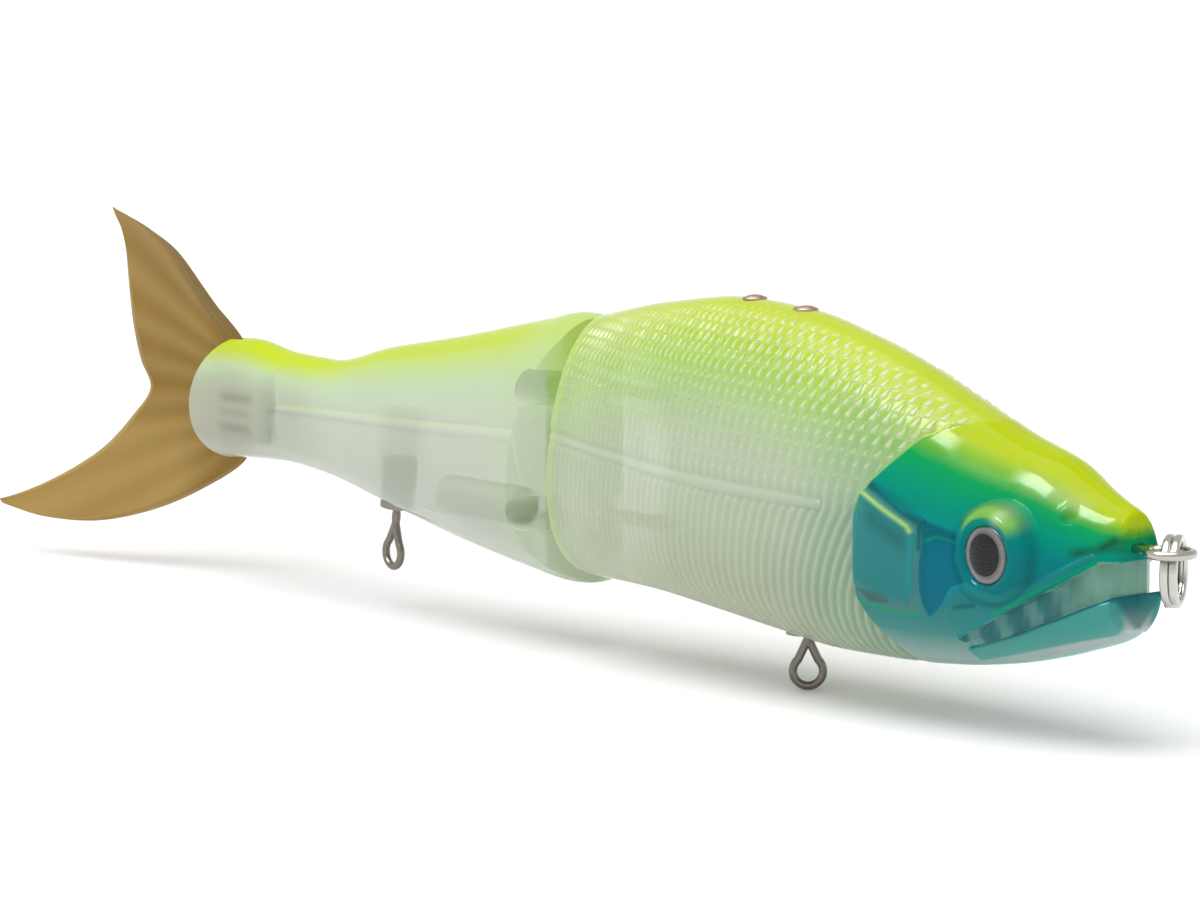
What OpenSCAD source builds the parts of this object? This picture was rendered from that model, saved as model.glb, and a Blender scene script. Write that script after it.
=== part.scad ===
// Two-section hard swimbait with a soft forked tail, about 200 mm long.
// Frame: +X forward, +Y to the left side, +Z up. Origin: centre of the line tie's front loop.

/* [Body] */
// Largest half width of the body
body_half_width = 11; // [10.5:0.1:12]
// Height of the back above the line tie at its highest point
back_height = 21.6; // [21:0.1:23]
// Depth of the belly below the line tie at its lowest point
belly_depth = 16.2; // [15.8:0.1:17.5]
// Wall thickness of the moulded half shells
wall = 1.4; // [1.2:0.1:1.8]
// Wall thickness of the open skirt around the joint
skirt_wall = 1.2; // [1:0.1:1.3]

/* [Joint] */
// Swing of the rear section to each side, in degrees
swing = 30; // [15:1:30]
// Slope of the wedge's two bevels from the fish's centre line, in degrees
bevel_angle = 38; // [36:1:40]
// Radius of the rounded nose of the wedge
wedge_nose_r = 2.2; // [2.1:0.05:2.3]
// Radius of the hinge pin
pin_r = 0.75; // [0.6:0.05:0.8]
// Height of the upper hinge eye
upper_eye_z = 9; // [8.5:0.1:9.3]
// Height of the lower hinge eye
lower_eye_z = -5.8; // [-6:0.1:-5.5]
// Height of the slots that the hinge eyes enter
slot_h = 4.2; // [3.6:0.1:4.4]

/* [Wire parts] */
// Wire radius of the line tie
tie_wire_r = 0.5; // [0.4:0.05:0.55]
// Radius of the line tie's front loop, to the middle of the wire
tie_loop_r = 2.4; // [2.3:0.05:2.6]
// Wire radius of the hinge eyes
eye_wire_r = 0.6; // [0.5:0.05:0.65]
// Wire radius of the hook hangers
hanger_wire_r = 0.5; // [0.4:0.05:0.55]
// Radius of the hook hangers' loops, to the middle of the wire
hanger_loop_r = 1.7; // [1.5:0.05:1.9]
// Turn of the front hook hanger from fore-and-aft, in degrees
front_hanger_turn = 50; // [-90:1:90]
// Turn of the rear hook hanger from fore-and-aft, in degrees
rear_hanger_turn = -6; // [-90:1:90]
// Outer radius of the split ring
split_ring_r = 4; // [3.9:0.05:4.2]

/* [Eyes] */
// Radius of the eye
eye_r = 3.12; // [2.8:0.02:3.3]
// Height of the clear dome on the eye
dome_h = 0.7; // [0.5:0.1:1]

/* [Tail] */
// Thickness of the soft tail where it enters the body
tail_root_t = 1.8; // [1.4:0.1:1.8]
// Thickness of the soft tail at its tips
tail_tip_t = 0.8; // [0.6:0.1:1.2]
// Twist of the soft tail at its tips, in degrees
tail_twist = 24; // [0:1:26]

/* [Hidden] */
$fn = 48;

// Clearances between fixed pieces, and between pieces that turn on each other
fit_gap = 0.03;
run_gap = 0.05;

// Places along the body
skirt_x = -91.5;
hinge_x = -92.1;
bulkhead_back_x = -87.5;
bulkhead_front_x = -85;
anchor_x = -82.3;
front_cavity_end_x = -15;
front_hanger_x = -56.5;
rear_hanger_x = -131.5;
rear_hanger_tilt = 7.5;
rear_cavity_front_x = -103;
rear_cavity_back_x = -151;
tail_slot_x = -161.8;
tail_post_x = -159.8;
tail_axis_z = 0.9;

// Body sections from tail to nose: place, top, bottom, half width
back_k = back_height / 21.6;
belly_k = belly_depth / 16.2;
width_k = body_half_width / 11;
FRONT = [
    [-91.5, 17.7, -13.0, 9.3], [-80, 20.1, -13.3, 10.1], [-67, 21.6, -14.4, 10.8],
    [-57, 21.1, -15.4, 11.0], [-47, 19.1, -16.2, 11.0], [-38, 16.5, -16.1, 10.7],
    [-30, 13.5, -15.6, 10.0], [-22, 10.6, -14.5, 9.0], [-15, 8.6, -12.9, 7.6],
    [-10, 6.0, -11.4, 6.0], [-7, 4.7, -10.4, 5.0], [-5.3, 4.1, -9.4, 4.0], [-4.7, 3.6, -8.6, 3.2]
];
REAR = [
    [-169, 8.4, -7.0, 4.5], [-160, 8.9, -6.2, 4.7], [-152, 7.9, -5.9, 4.5], [-144, 7.7, -6.5, 4.5],
    [-132, 10.3, -8.7, 5.3], [-117, 13.1, -11.5, 6.9], [-102, 16.3, -13.6, 8.5],
    [-95, 17.6, -14.3, 9.1], [-93, 17.5, -14.1, 9.2], [-91.8, 16.9, -13.4, 9.3], [-89.5, 16, -12.4, 9.3]
];

// Share of the height at which a section is widest, and the roundness of its two halves
mid_share = 0.36;
top_power = 2.0;
belly_power = 2.2;
section_steps = 14;

// Smooth curve through column k of a table of sections
function chord(t, i, k) = (t[i + 1][k] - t[i][k]) / (t[i + 1][0] - t[i][0]);
function slope(t, i, k) =
    i == 0 ? chord(t, 0, k) :
    i == len(t) - 1 ? chord(t, i - 1, k) :
    let (a = chord(t, i - 1, k), b = chord(t, i, k))
    a * b <= 0 ? 0 : 2 * a * b / (a + b);
function segment(t, x, i = 0) = i >= len(t) - 2 || x < t[i + 1][0] ? i : segment(t, x, i + 1);
function curve(t, x, k) =
    let (i = segment(t, x), h = t[i + 1][0] - t[i][0], s = (x - t[i][0]) / h)
    t[i][k] * (1 + 2 * s) * (1 - s) * (1 - s) + t[i + 1][k] * s * s * (3 - 2 * s)
    + h * (slope(t, i, k) * s * (1 - s) * (1 - s) - slope(t, i + 1, k) * s * s * (1 - s));

function bulge(v, power) = sign(v) * pow(abs(v), 2 / power);

// Points of one half section, from the belly's centre line to the back's, inset by a wall
function half_section(t, x, inset) =
    let (
        top = curve(t, x, 1) * back_k - inset,
        bottom = curve(t, x, 2) * belly_k + inset,
        half_w = curve(t, x, 3) * width_k - inset,
        mid = top * mid_share + bottom * (1 - mid_share)
    )
    [for (j = [0:section_steps])
        let (a = 180 * j / section_steps - 90, p = a > 0 ? top_power : belly_power)
        [x, half_w * bulge(cos(a), p), mid + (a > 0 ? top - mid : mid - bottom) * bulge(sin(a), p)]];

// Left half of a body between two places, as one closed solid
module half_body(t, xs, inset) {
    n = section_steps + 1;
    m = len(xs);
    points = [for (x = xs) each half_section(t, x, inset)];
    skin = [for (i = [0:m - 2], j = [0:n - 2])
        let (a = i * n + j, b = a + n) each [[a, b + 1, a + 1], [a, b, b + 1]]];
    seam = [for (i = [0:m - 2])
        let (a = i * n, b = a + n) each [[a, b + n - 1, b], [a, a + n - 1, b + n - 1]]];
    back_end = [for (j = [1:n - 2]) [0, j, j + 1]];
    front_end = [for (j = [1:n - 2]) [(m - 1) * n, (m - 1) * n + j + 1, (m - 1) * n + j]];
    polyhedron(points = points, faces = concat(skin, seam, back_end, front_end), convexity = 4);
}

// Places from a to b in equal steps of about the given length
function places(a, b, step) = let (n = max(1, round((b - a) / step))) [for (i = [0:n]) a + (b - a) * i / n];

module upright(x, r, z0, z1) {
    translate([x, 0, z0]) cylinder(r = r, h = z1 - z0);
}

module block(x0, x1, half_y, z0, z1) {
    translate([x0, -half_y, z0]) cube([x1 - x0, 2 * half_y, z1 - z0]);
}

// Prism across the body with an outline drawn in the side view
module side_prism(points, half_y) {
    rotate([90, 0, 0]) linear_extrude(2 * half_y, center = true) polygon(points);
}

// ---- Wire eyes: an outer loop and an anchored loop joined by a flat neck ----

module wire_ring(loop_r, wire_r) {
    rotate_extrude() translate([loop_r, 0]) circle(wire_r);
}

module wire_eye(outer_r, anchor_r, length, wire_r) {
    wire_ring(outer_r, wire_r);
    translate([-length, 0, 0]) wire_ring(anchor_r, wire_r);
    block(anchor_r - length, -outer_r, 1.8 * wire_r, -0.9 * wire_r, 0.9 * wire_r);
}

// Room in the shells for an anchored loop, with the post that it sits on left standing
module anchor_pocket(anchor_r, wire_r, neck_length) {
    gap = wire_r + run_gap;
    difference() {
        union() {
            translate([0, 0, -gap]) cylinder(r = anchor_r + gap, h = 2 * gap);
            translate([0, -2 * gap, -gap]) cube([neck_length, 4 * gap, 2 * gap]);
        }
        translate([0, 0, -gap]) cylinder(r = anchor_r - gap, h = 2 * gap);
    }
}

tie_anchor_r = 2;
tie_length = 10.6;
hinge_loop_r = pin_r + run_gap + eye_wire_r;
hinge_anchor_r = 1.6;
hinge_length = anchor_x - hinge_x;

// ---- Front section ----

boss_r = 3.9;
front_bush_r = 2.5;
front_bush_z = [-15.6, -9.6];
stud_x = [-57.1, -65.7];
stud_z = [20.85, 21.4];
stud_head_r = 1.4;
stud_shank_r = 0.6;
stud_shank_h = 6;
front_ballast_x = [-77, -62];
front_ballast_z = -9.2;
front_ballast_r = 3.2;
eye_at = [-18.5, -1.5];
eye_seat_y = 8.6;
eye_disc_t = 0.4;
eye_rim_y = 9.2;
eye_rim_r = 5;
MOUTH = [
    [-24, -11.3], [-18, -8.2], [-12.1, -5.0], [-6.5, -1.6], [-3, -1.0],
    [-3, -4.2], [-4.7, -4.9], [-10.1, -7.3], [-16, -9.8], [-22.5, -12.3]
];
mouth_core_y = 3;
mouth_open_x = -9;

module front_bosses() {
    upright(front_hanger_x, boss_r, -20, -6);
    for (z = [upper_eye_z, lower_eye_z])
        block(bulkhead_front_x - 1, anchor_x + 3.4, 4.6, z - 2.4, z + 2.4);
    for (i = [0:1])
        upright(stud_x[i], 2, stud_z[i] - stud_shank_h - 2, 25);
    block(front_ballast_x[0] - 1.5, front_ballast_x[1] + 1.5, 4.4, -20, front_ballast_z - 1);
}

module front_half() {
    difference() {
        union() {
            half_body(FRONT, concat(places(skirt_x, -15, 4), places(-13, -7, 2), [-6, -5.3, -4.7]), 0);
            translate([eye_at[0], 5, eye_at[1]]) rotate([-90, 0, 0])
                cylinder(r1 = eye_rim_r + 1.2, r2 = eye_rim_r - 0.8, h = eye_rim_y - 5);
        }
        difference() {
            half_body(FRONT, places(bulkhead_front_x, front_cavity_end_x, 5), wall);
            front_bosses();
        }
        translate([-0.5, 0, 0]) half_body(FRONT, places(skirt_x, bulkhead_back_x, 2), skirt_wall);
        translate([-tie_length, 0, 0]) anchor_pocket(tie_anchor_r, tie_wire_r, tie_length);
        for (z = [upper_eye_z, lower_eye_z]) translate([anchor_x, 0, z]) rotate([0, 0, 180])
            anchor_pocket(hinge_anchor_r, eye_wire_r, 6);
        upright(front_hanger_x, front_bush_r + fit_gap, -20, front_bush_z[1] + fit_gap);
        for (i = [0:1]) {
            upright(stud_x[i], stud_shank_r + fit_gap, stud_z[i] - stud_shank_h - fit_gap, 25);
            upright(stud_x[i], stud_head_r + fit_gap, stud_z[i] - fit_gap, 25);
        }
        translate([front_ballast_x[0] - fit_gap, 0, front_ballast_z]) rotate([0, 90, 0])
            cylinder(r = front_ballast_r + fit_gap, h = front_ballast_x[1] - front_ballast_x[0] + 2 * fit_gap);
        translate([eye_at[0], eye_seat_y, eye_at[1]]) rotate([-90, 0, 0])
            cylinder(r = eye_r + fit_gap, h = 5);
        difference() {
            side_prism(MOUTH, 12);
            block(-30, mouth_open_x, mouth_core_y, -14, 0);
        }
    }
}

module front_shell_left() {
    color([0.60, 0.78, 0.30]) front_half();
}

module front_shell_right() {
    color([0.60, 0.78, 0.30]) mirror([0, 1, 0]) front_half();
}

// ---- Eyes ----

module on_left_eye(depth) {
    translate([eye_at[0], depth, eye_at[1]]) rotate([-90, 0, 0]) children();
}

module eye_disc() {
    on_left_eye(eye_seat_y + fit_gap) cylinder(r = eye_r, h = eye_disc_t);
}

module eye_dome() {
    dome_r = (eye_r * eye_r + dome_h * dome_h) / (2 * dome_h);
    on_left_eye(eye_seat_y + fit_gap + eye_disc_t) intersection() {
        translate([0, 0, dome_h - dome_r]) sphere(dome_r, $fn = 200);
        cylinder(r = eye_r, h = dome_h + 1);
    }
}

module eye_disc_left() {
    color([0.12, 0.12, 0.13]) eye_disc();
}

module eye_disc_right() {
    color([0.12, 0.12, 0.13]) mirror([0, 1, 0]) eye_disc();
}

module eye_dome_left() {
    color([0.85, 0.92, 0.95, 0.4]) eye_dome();
}

module eye_dome_right() {
    color([0.85, 0.92, 0.95, 0.4]) mirror([0, 1, 0]) eye_dome();
}

// ---- Line tie and split ring ----

module line_tie() {
    color("silver") wire_eye(tie_loop_r, tie_anchor_r, tie_length, tie_wire_r);
}

ring_band = 1;
ring_coil_t = 0.95;
ring_hang_angle = 125;
// Room for the ring to turn on the curve of the loop's wire
ring_gap = 0.25;
ring_drop = split_ring_r - ring_band - tie_wire_r - ring_gap;

// Two flat coils side by side, joined where the spring wire steps across
module split_ring() {
    color("silver")
    translate([tie_loop_r * cos(ring_hang_angle), tie_loop_r * sin(ring_hang_angle), -ring_drop])
    rotate([90, 0, ring_hang_angle]) {
        difference() {
            translate([0, 0, -ring_coil_t]) cylinder(r = split_ring_r, h = 2 * ring_coil_t);
            translate([0, 0, -2]) cylinder(r = split_ring_r - ring_band, h = 4);
            rotate_extrude() translate([split_ring_r, 0]) circle(0.15, $fn = 24);
        }
    }
}

// ---- Hook hangers: a swivelling wire eye with a head, held in a bush ----

hanger_neck = 3.8;
head_r = 1.25;
head_h = 1;
seat_h = 2.5;

module hook_hanger(stem) {
    leg_angle = asin(hanger_loop_r / hanger_neck);
    rotate([90, 0, 0]) wire_ring(hanger_loop_r, hanger_wire_r);
    for (side = [-1, 1])
        translate([0, 0, hanger_neck]) rotate([0, 180 + side * leg_angle, 0])
            cylinder(r = 0.88 * hanger_wire_r, h = hanger_neck * cos(leg_angle));
    translate([0, 0, hanger_loop_r + hanger_wire_r / 2])
        cylinder(r = hanger_wire_r, h = hanger_neck + stem + head_h - hanger_loop_r - hanger_wire_r / 2);
    translate([0, 0, hanger_neck + stem]) cylinder(r = head_r, h = head_h);
}

// Bush from its mouth up: a floor with a running bore, then an open chamber for the head
module hanger_bush(r, h) {
    difference() {
        cylinder(r = r, h = h);
        translate([0, 0, -1]) cylinder(r = hanger_wire_r + run_gap, h = h + 2);
        translate([0, 0, seat_h]) cylinder(r = head_r + 0.1, h = h);
    }
}

front_hanger_z = -19.85;
front_stem = front_bush_z[0] + seat_h + run_gap - front_hanger_z - hanger_neck;

module front_hanger_bush() {
    color("gray") translate([front_hanger_x, 0, front_bush_z[0]])
        hanger_bush(front_bush_r, front_bush_z[1] - front_bush_z[0]);
}

module front_hook_hanger() {
    color("dimgray") translate([front_hanger_x, 0, front_hanger_z]) rotate([0, 0, front_hanger_turn])
        hook_hanger(front_stem);
}

// The rear hanger's frame: its mouth on the belly, leaning with the belly's slope
rear_mouth_z = -9.3;
rear_bush_r = 2.1;
rear_bush_h = 6;
rear_hanger_drop = 5.8;
rear_boss_r = 2.9;

module at_rear_hanger() {
    translate([rear_hanger_x, 0, rear_mouth_z]) rotate([0, rear_hanger_tilt, 0]) children();
}

module rear_hanger_bush() {
    color("gray") at_rear_hanger() hanger_bush(rear_bush_r, rear_bush_h);
}

module rear_hook_hanger() {
    color("dimgray") at_rear_hanger() translate([0, 0, -rear_hanger_drop]) rotate([0, 0, rear_hanger_turn])
        hook_hanger(rear_hanger_drop - hanger_neck + seat_h + run_gap);
}

// ---- Joint hardware ----

pin_z = [-10.4, 13.1];

module hinge_eye(z) {
    translate([hinge_x, 0, z]) rotate([0, 0, 180])
        wire_eye(hinge_loop_r, hinge_anchor_r, hinge_length, eye_wire_r);
}

module hinge_eye_upper() {
    color("silver") hinge_eye(upper_eye_z);
}

module hinge_eye_lower() {
    color("silver") hinge_eye(lower_eye_z);
}

module hinge_pin() {
    color("lightgray") upright(hinge_x, pin_r, pin_z[0], pin_z[1]);
}

// ---- Rear section ----

wedge_clear_z = [-10.3, 12.8];
end_r = 8.9;
end_x = -159.5;
rear_ballast_x = [-121, -107];
rear_ballast_z = -6.6;
rear_ballast_r = 2.3;
tang_x = -157.4;
tang_z = [-4.2, 6];
tang_gap = 0.1;
post_r = 1.2;

// Plan view of the wedge: a rounded nose with a bevel to each side
module wedge_plan() {
    reach = 30;
    tangent = [wedge_nose_r * sin(bevel_angle), wedge_nose_r * cos(bevel_angle)];
    far = [tangent[0] - reach * cos(bevel_angle), tangent[1] + reach * sin(bevel_angle)];
    circle(wedge_nose_r);
    polygon([tangent, far, [-90, far[1]], [-90, -far[1]], [far[0], -far[1]], [tangent[0], -tangent[1]]]);
}

// Slots through the wedge that let the hinge eyes in and let the joint swing
module hinge_slots() {
    slot_end_x = -98;
    for (z = [upper_eye_z, lower_eye_z]) {
        block(slot_end_x, skirt_x + 5, 12, z - slot_h / 2, z + slot_h / 2);
        translate([slot_end_x, 0, z]) rotate([90, 0, 0]) cylinder(r = slot_h / 2, h = 24, center = true);
    }
}

// Above and below the nose, the ends of the wedge are cut back clear of the skirt's edge at full swing
module end_cuts() {
    for (side = [-1, 1]) translate([hinge_x, 0, 0]) rotate([0, 0, side * swing]) {
        translate([0.3, -20, wedge_clear_z[1]]) cube([20, 40, 10]);
        translate([0.3, -20, wedge_clear_z[0] - 10]) cube([20, 40, 10]);
    }
}

module rear_bosses() {
    at_rear_hanger() translate([0, 0, -3]) cylinder(r = rear_boss_r, h = 15);
    block(rear_ballast_x[0] - 1.5, rear_ballast_x[1] + 1.5, 3.4, -20, rear_ballast_z - 1);
}

module rear_half() {
    difference() {
        intersection() {
            half_body(REAR, concat(places(-169, -97, 4), [-95, -93, -91.8, -89.5]), 0);
            translate([hinge_x, 0, -30]) linear_extrude(60) wedge_plan();
            union() {
                block(end_x, 0, 20, -30, 30);
                translate([end_x, 0, tail_axis_z]) rotate([90, 0, 0]) cylinder(r = end_r, h = 40, center = true);
            }
        }
        difference() {
            half_body(REAR, places(rear_cavity_back_x, rear_cavity_front_x, 5), wall);
            rear_bosses();
        }
        hinge_slots();
        end_cuts();
        upright(hinge_x, pin_r + fit_gap, pin_z[0] - fit_gap, pin_z[1] + fit_gap);
        at_rear_hanger() translate([0, 0, -5]) cylinder(r = rear_bush_r + fit_gap, h = rear_bush_h + 5 + fit_gap);
        translate([rear_ballast_x[0] - fit_gap, 0, rear_ballast_z]) rotate([0, 90, 0])
            cylinder(r = rear_ballast_r + fit_gap, h = rear_ballast_x[1] - rear_ballast_x[0] + 2 * fit_gap);
        block(-175, tail_slot_x, tail_root_t / 2 + tang_gap / 2, -20, 20);
        difference() {
            block(tail_slot_x - 1, tang_x + tang_gap, tail_root_t / 2 + tang_gap / 2,
                tang_z[0] - tang_gap, tang_z[1] + tang_gap);
            translate([tail_post_x, 0, tail_axis_z]) rotate([90, 0, 0]) cylinder(r = post_r, h = 10, center = true);
        }
    }
}

module rear_shell_left() {
    color([0.78, 0.86, 0.70]) rear_half();
}

module rear_shell_right() {
    color([0.78, 0.86, 0.70]) mirror([0, 1, 0]) rear_half();
}

// ---- Ballast and studs ----

module front_ballast() {
    color("slategray") translate([front_ballast_x[0], 0, front_ballast_z]) rotate([0, 90, 0])
        cylinder(r = front_ballast_r, h = front_ballast_x[1] - front_ballast_x[0]);
}

module rear_ballast() {
    color("slategray") translate([rear_ballast_x[0], 0, rear_ballast_z]) rotate([0, 90, 0])
        cylinder(r = rear_ballast_r, h = rear_ballast_x[1] - rear_ballast_x[0]);
}

module back_stud(i) {
    dome = 0.65;
    ball_r = (stud_head_r * stud_head_r + dome * dome) / (2 * dome);
    upright(stud_x[i], stud_shank_r, stud_z[i] - stud_shank_h, stud_z[i] + 0.1);
    translate([stud_x[i], 0, stud_z[i]]) {
        cylinder(r = stud_head_r, h = 0.25);
        translate([0, 0, 0.25]) intersection() {
            translate([0, 0, dome - ball_r]) sphere(ball_r);
            cylinder(r = stud_head_r, h = 2);
        }
    }
}

module back_stud_front() {
    color("peru") back_stud(0);
}

module back_stud_rear() {
    color("peru") back_stud(1);
}

// ---- Soft tail ----

// Ends of the fin's rays, as place and height from the tail's axis: at the root and leading edges, then
// at the trailing edge, from the lower tip to the upper tip
RAY_STARTS = [
    [-205.2, -18.8], [-198, -19.2], [-188.8, -18.3], [-179, -15.4], [-170, -11.4], [-163.2, -7.7],
    [-162, -4], [-162, 0], [-162, 4], [-163.4, 7.4], [-170, 11.8], [-180, 17.2], [-190, 20],
    [-199, 21.9], [-203.3, 22.8]
];
RAY_ENDS = [
    [-206, -18.3], [-205, -17.9], [-202.5, -16.7], [-198.5, -14.5], [-194, -11.7], [-189.6, -8.5],
    [-185.4, -4.2], [-182.5, -0.3], [-185.5, 3.1], [-188.4, 7], [-191.5, 11.8], [-194.8, 16.5], [-198, 19.5],
    [-201.5, 21.6], [-204, 23]
];
ray_steps = 8;
flat_to_x = -168.6;
tip_x = -204;

function tail_share(x) = max(0, (flat_to_x - x) / (flat_to_x - tip_x));

// A point on the fin: place, height from the axis, and side of the fin
function tail_point(x, h, side) =
    let (s = tail_share(x), half_t = (tail_root_t + (tail_tip_t - tail_root_t) * min(1, s)) / 2, a = tail_twist * s)
    [x, h * sin(a) + side * half_t * cos(a), tail_axis_z + h * cos(a) - side * half_t * sin(a)];

module fin_blade() {
    n = len(RAY_STARTS);
    m = ray_steps + 1;
    points = [for (side = [-1, 1], j = [0:n - 1], i = [0:ray_steps])
        let (p = RAY_STARTS[j] + (RAY_ENDS[j] - RAY_STARTS[j]) * i / ray_steps)
        tail_point(p[0], p[1], side)];
    far = n * m;
    near_side = [for (j = [0:n - 2], i = [0:m - 2])
        let (a = j * m + i, b = a + m) each [[a, b + 1, b], [a, a + 1, b + 1]]];
    far_side = [for (f = near_side) [f[0] + far, f[2] + far, f[1] + far]];
    rim_loop = concat(
        [for (i = [0:m - 2]) i], [for (j = [0:n - 2]) j * m + m - 1],
        [for (i = [0:m - 2]) (n - 1) * m + m - 1 - i], [for (j = [0:n - 2]) (n - 1 - j) * m]
    );
    rim = [for (k = [0:len(rim_loop) - 1])
        let (a = rim_loop[k], b = rim_loop[(k + 1) % len(rim_loop)])
        each [[a, b + far, b], [a, a + far, b + far]]];
    polyhedron(points = points, faces = concat(near_side, far_side, rim), convexity = 6);
}

module tail_fin() {
    color([0.61, 0.48, 0.24]) difference() {
        union() {
            fin_blade();
            block(tail_slot_x - 1.5, tang_x, tail_root_t / 2, tang_z[0], tang_z[1]);
        }
        translate([tail_post_x, 0, tail_axis_z]) rotate([90, 0, 0])
            cylinder(r = post_r + fit_gap, h = 10, center = true);
    }
}

front_shell_left();
front_shell_right();
rear_shell_left();
rear_shell_right();
eye_disc_left();
eye_disc_right();
eye_dome_left();
eye_dome_right();
line_tie();
split_ring();
front_hanger_bush();
front_hook_hanger();
rear_hanger_bush();
rear_hook_hanger();
hinge_eye_upper();
hinge_eye_lower();
hinge_pin();
front_ballast();
rear_ballast();
back_stud_front();
back_stud_rear();
tail_fin();
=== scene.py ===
import math

import bmesh
import bpy
import numpy as np
from mathutils import Matrix, Vector


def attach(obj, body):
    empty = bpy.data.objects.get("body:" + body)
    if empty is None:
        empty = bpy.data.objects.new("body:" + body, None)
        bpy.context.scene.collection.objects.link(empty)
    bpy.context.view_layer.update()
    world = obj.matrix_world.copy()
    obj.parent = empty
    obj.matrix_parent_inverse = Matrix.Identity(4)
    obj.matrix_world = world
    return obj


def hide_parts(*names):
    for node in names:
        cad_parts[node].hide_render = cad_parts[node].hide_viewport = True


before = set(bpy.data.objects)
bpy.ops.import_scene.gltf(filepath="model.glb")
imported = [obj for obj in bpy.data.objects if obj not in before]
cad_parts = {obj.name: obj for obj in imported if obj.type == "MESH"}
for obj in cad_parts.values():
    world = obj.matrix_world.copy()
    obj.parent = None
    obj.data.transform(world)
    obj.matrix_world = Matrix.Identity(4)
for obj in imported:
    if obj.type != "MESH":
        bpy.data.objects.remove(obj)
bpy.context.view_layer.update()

MM = 0.001                          # shapes are worked out in mm, Blender's meshes are in metres
FINE = 1.0

# ---- sections and places, as in the CAD source, in mm
# each row: x, top, bottom, half width
FRONT = np.array([
    [-91.5, 17.7, -13.0, 9.3], [-80, 20.1, -13.3, 10.1], [-67, 21.6, -14.4, 10.8],
    [-57, 21.1, -15.4, 11.0], [-47, 19.1, -16.2, 11.0], [-38, 16.5, -16.1, 10.7],
    [-30, 13.5, -15.6, 10.0], [-22, 10.6, -14.5, 9.0], [-15, 8.6, -12.9, 7.6],
    [-10, 6.0, -11.4, 6.0], [-7, 4.7, -10.4, 5.0], [-5.3, 4.1, -9.4, 4.0], [-4.7, 3.6, -8.6, 3.2]])
REAR = np.array([
    [-169, 8.4, -7.0, 4.5], [-160, 8.9, -6.2, 4.7], [-152, 7.9, -5.9, 4.5], [-144, 7.7, -6.5, 4.5],
    [-132, 10.3, -8.7, 5.3], [-117, 13.1, -11.5, 6.9], [-102, 16.3, -13.6, 8.5],
    [-95, 17.6, -14.3, 9.1], [-93, 17.5, -14.1, 9.2], [-91.8, 16.9, -13.4, 9.3], [-89.5, 16, -12.4, 9.3]])
SKIRT_X, NOSE_X = -91.5, -4.7                  # back and front end of the front section
HINGE_X, SWING = -92.1, math.radians(30)       # the hinge pin, and the swing to each side
HINGE_EYES, SLOT_HALF = (("upper", 9.0), ("lower", -5.8)), 2.1
EYE, EYE_R, EYE_SEAT = (-18.5, -1.5), 3.12, 8.63
STUDS = (("front", -57.1, 20.85), ("rear", -65.7, 21.4))
FRONT_HANGER_X, FRONT_EYE_Z = -56.5, -19.85
REAR_HANGER_X, REAR_HANGER_Z, REAR_HANGER_TILT = -131.5, -9.3, math.radians(7.5)
FRONT_STEM, REAR_STEM, REAR_DROP = 6.8, 8.35, 5.8   # stems' heights over the eyes; rear eye under its place
FRONT_BALLAST_Z, REAR_BALLAST_Z = -9.2, -6.6
TAIL_ROOT_X, TAIL_MID_Z = -159.8, 0.9          # the pin through the tail's root, and the tail's middle height
WALL, MOUTH_BAR_PITCH = 1.4, 4.3
SEAM_GAP = 0.015                               # each half stops this far short of the middle plane


def curve(t, x, k):
    """Smooth curve through column k of a table of sections."""
    xs, v = t[:, 0], t[:, k]
    c = np.diff(v) / np.diff(xs)
    m = np.empty(len(v))
    m[0], m[-1] = c[0], c[-1]
    a, b = c[:-1], c[1:]
    m[1:-1] = np.where(a * b <= 0, 0.0, 2 * a * b / np.where(np.abs(a + b) < 1e-12, 1, a + b))
    x = np.asarray(x, float)
    i = np.clip(np.searchsorted(xs, x, side="right") - 1, 0, len(xs) - 2)
    h = xs[i + 1] - xs[i]
    s = (x - xs[i]) / h
    return (v[i] * (1 + 2 * s) * (1 - s) ** 2 + v[i + 1] * s * s * (3 - 2 * s)
            + h * (m[i] * s * (1 - s) ** 2 - m[i + 1] * s * s * (1 - s)))


def middle(top, bottom):
    """Height of a section's widest place."""
    return 0.36 * top + 0.64 * bottom


def section(t, x, a, inset=0.0):
    """Y and Z of the surface at place x and section angle a (-90 belly to 90 back, in radians)."""
    top, bottom, half = curve(t, x, 1) - inset, curve(t, x, 2) + inset, curve(t, x, 3) - inset
    mid = middle(top, bottom)
    p = np.where(a > 0, 2.0, 2.2)
    y = half * np.abs(np.cos(a)) ** (2 / p)
    z = mid + np.where(a > 0, top - mid, mid - bottom) * np.sign(np.sin(a)) * np.abs(np.sin(a)) ** (2 / p)
    return y, z


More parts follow.
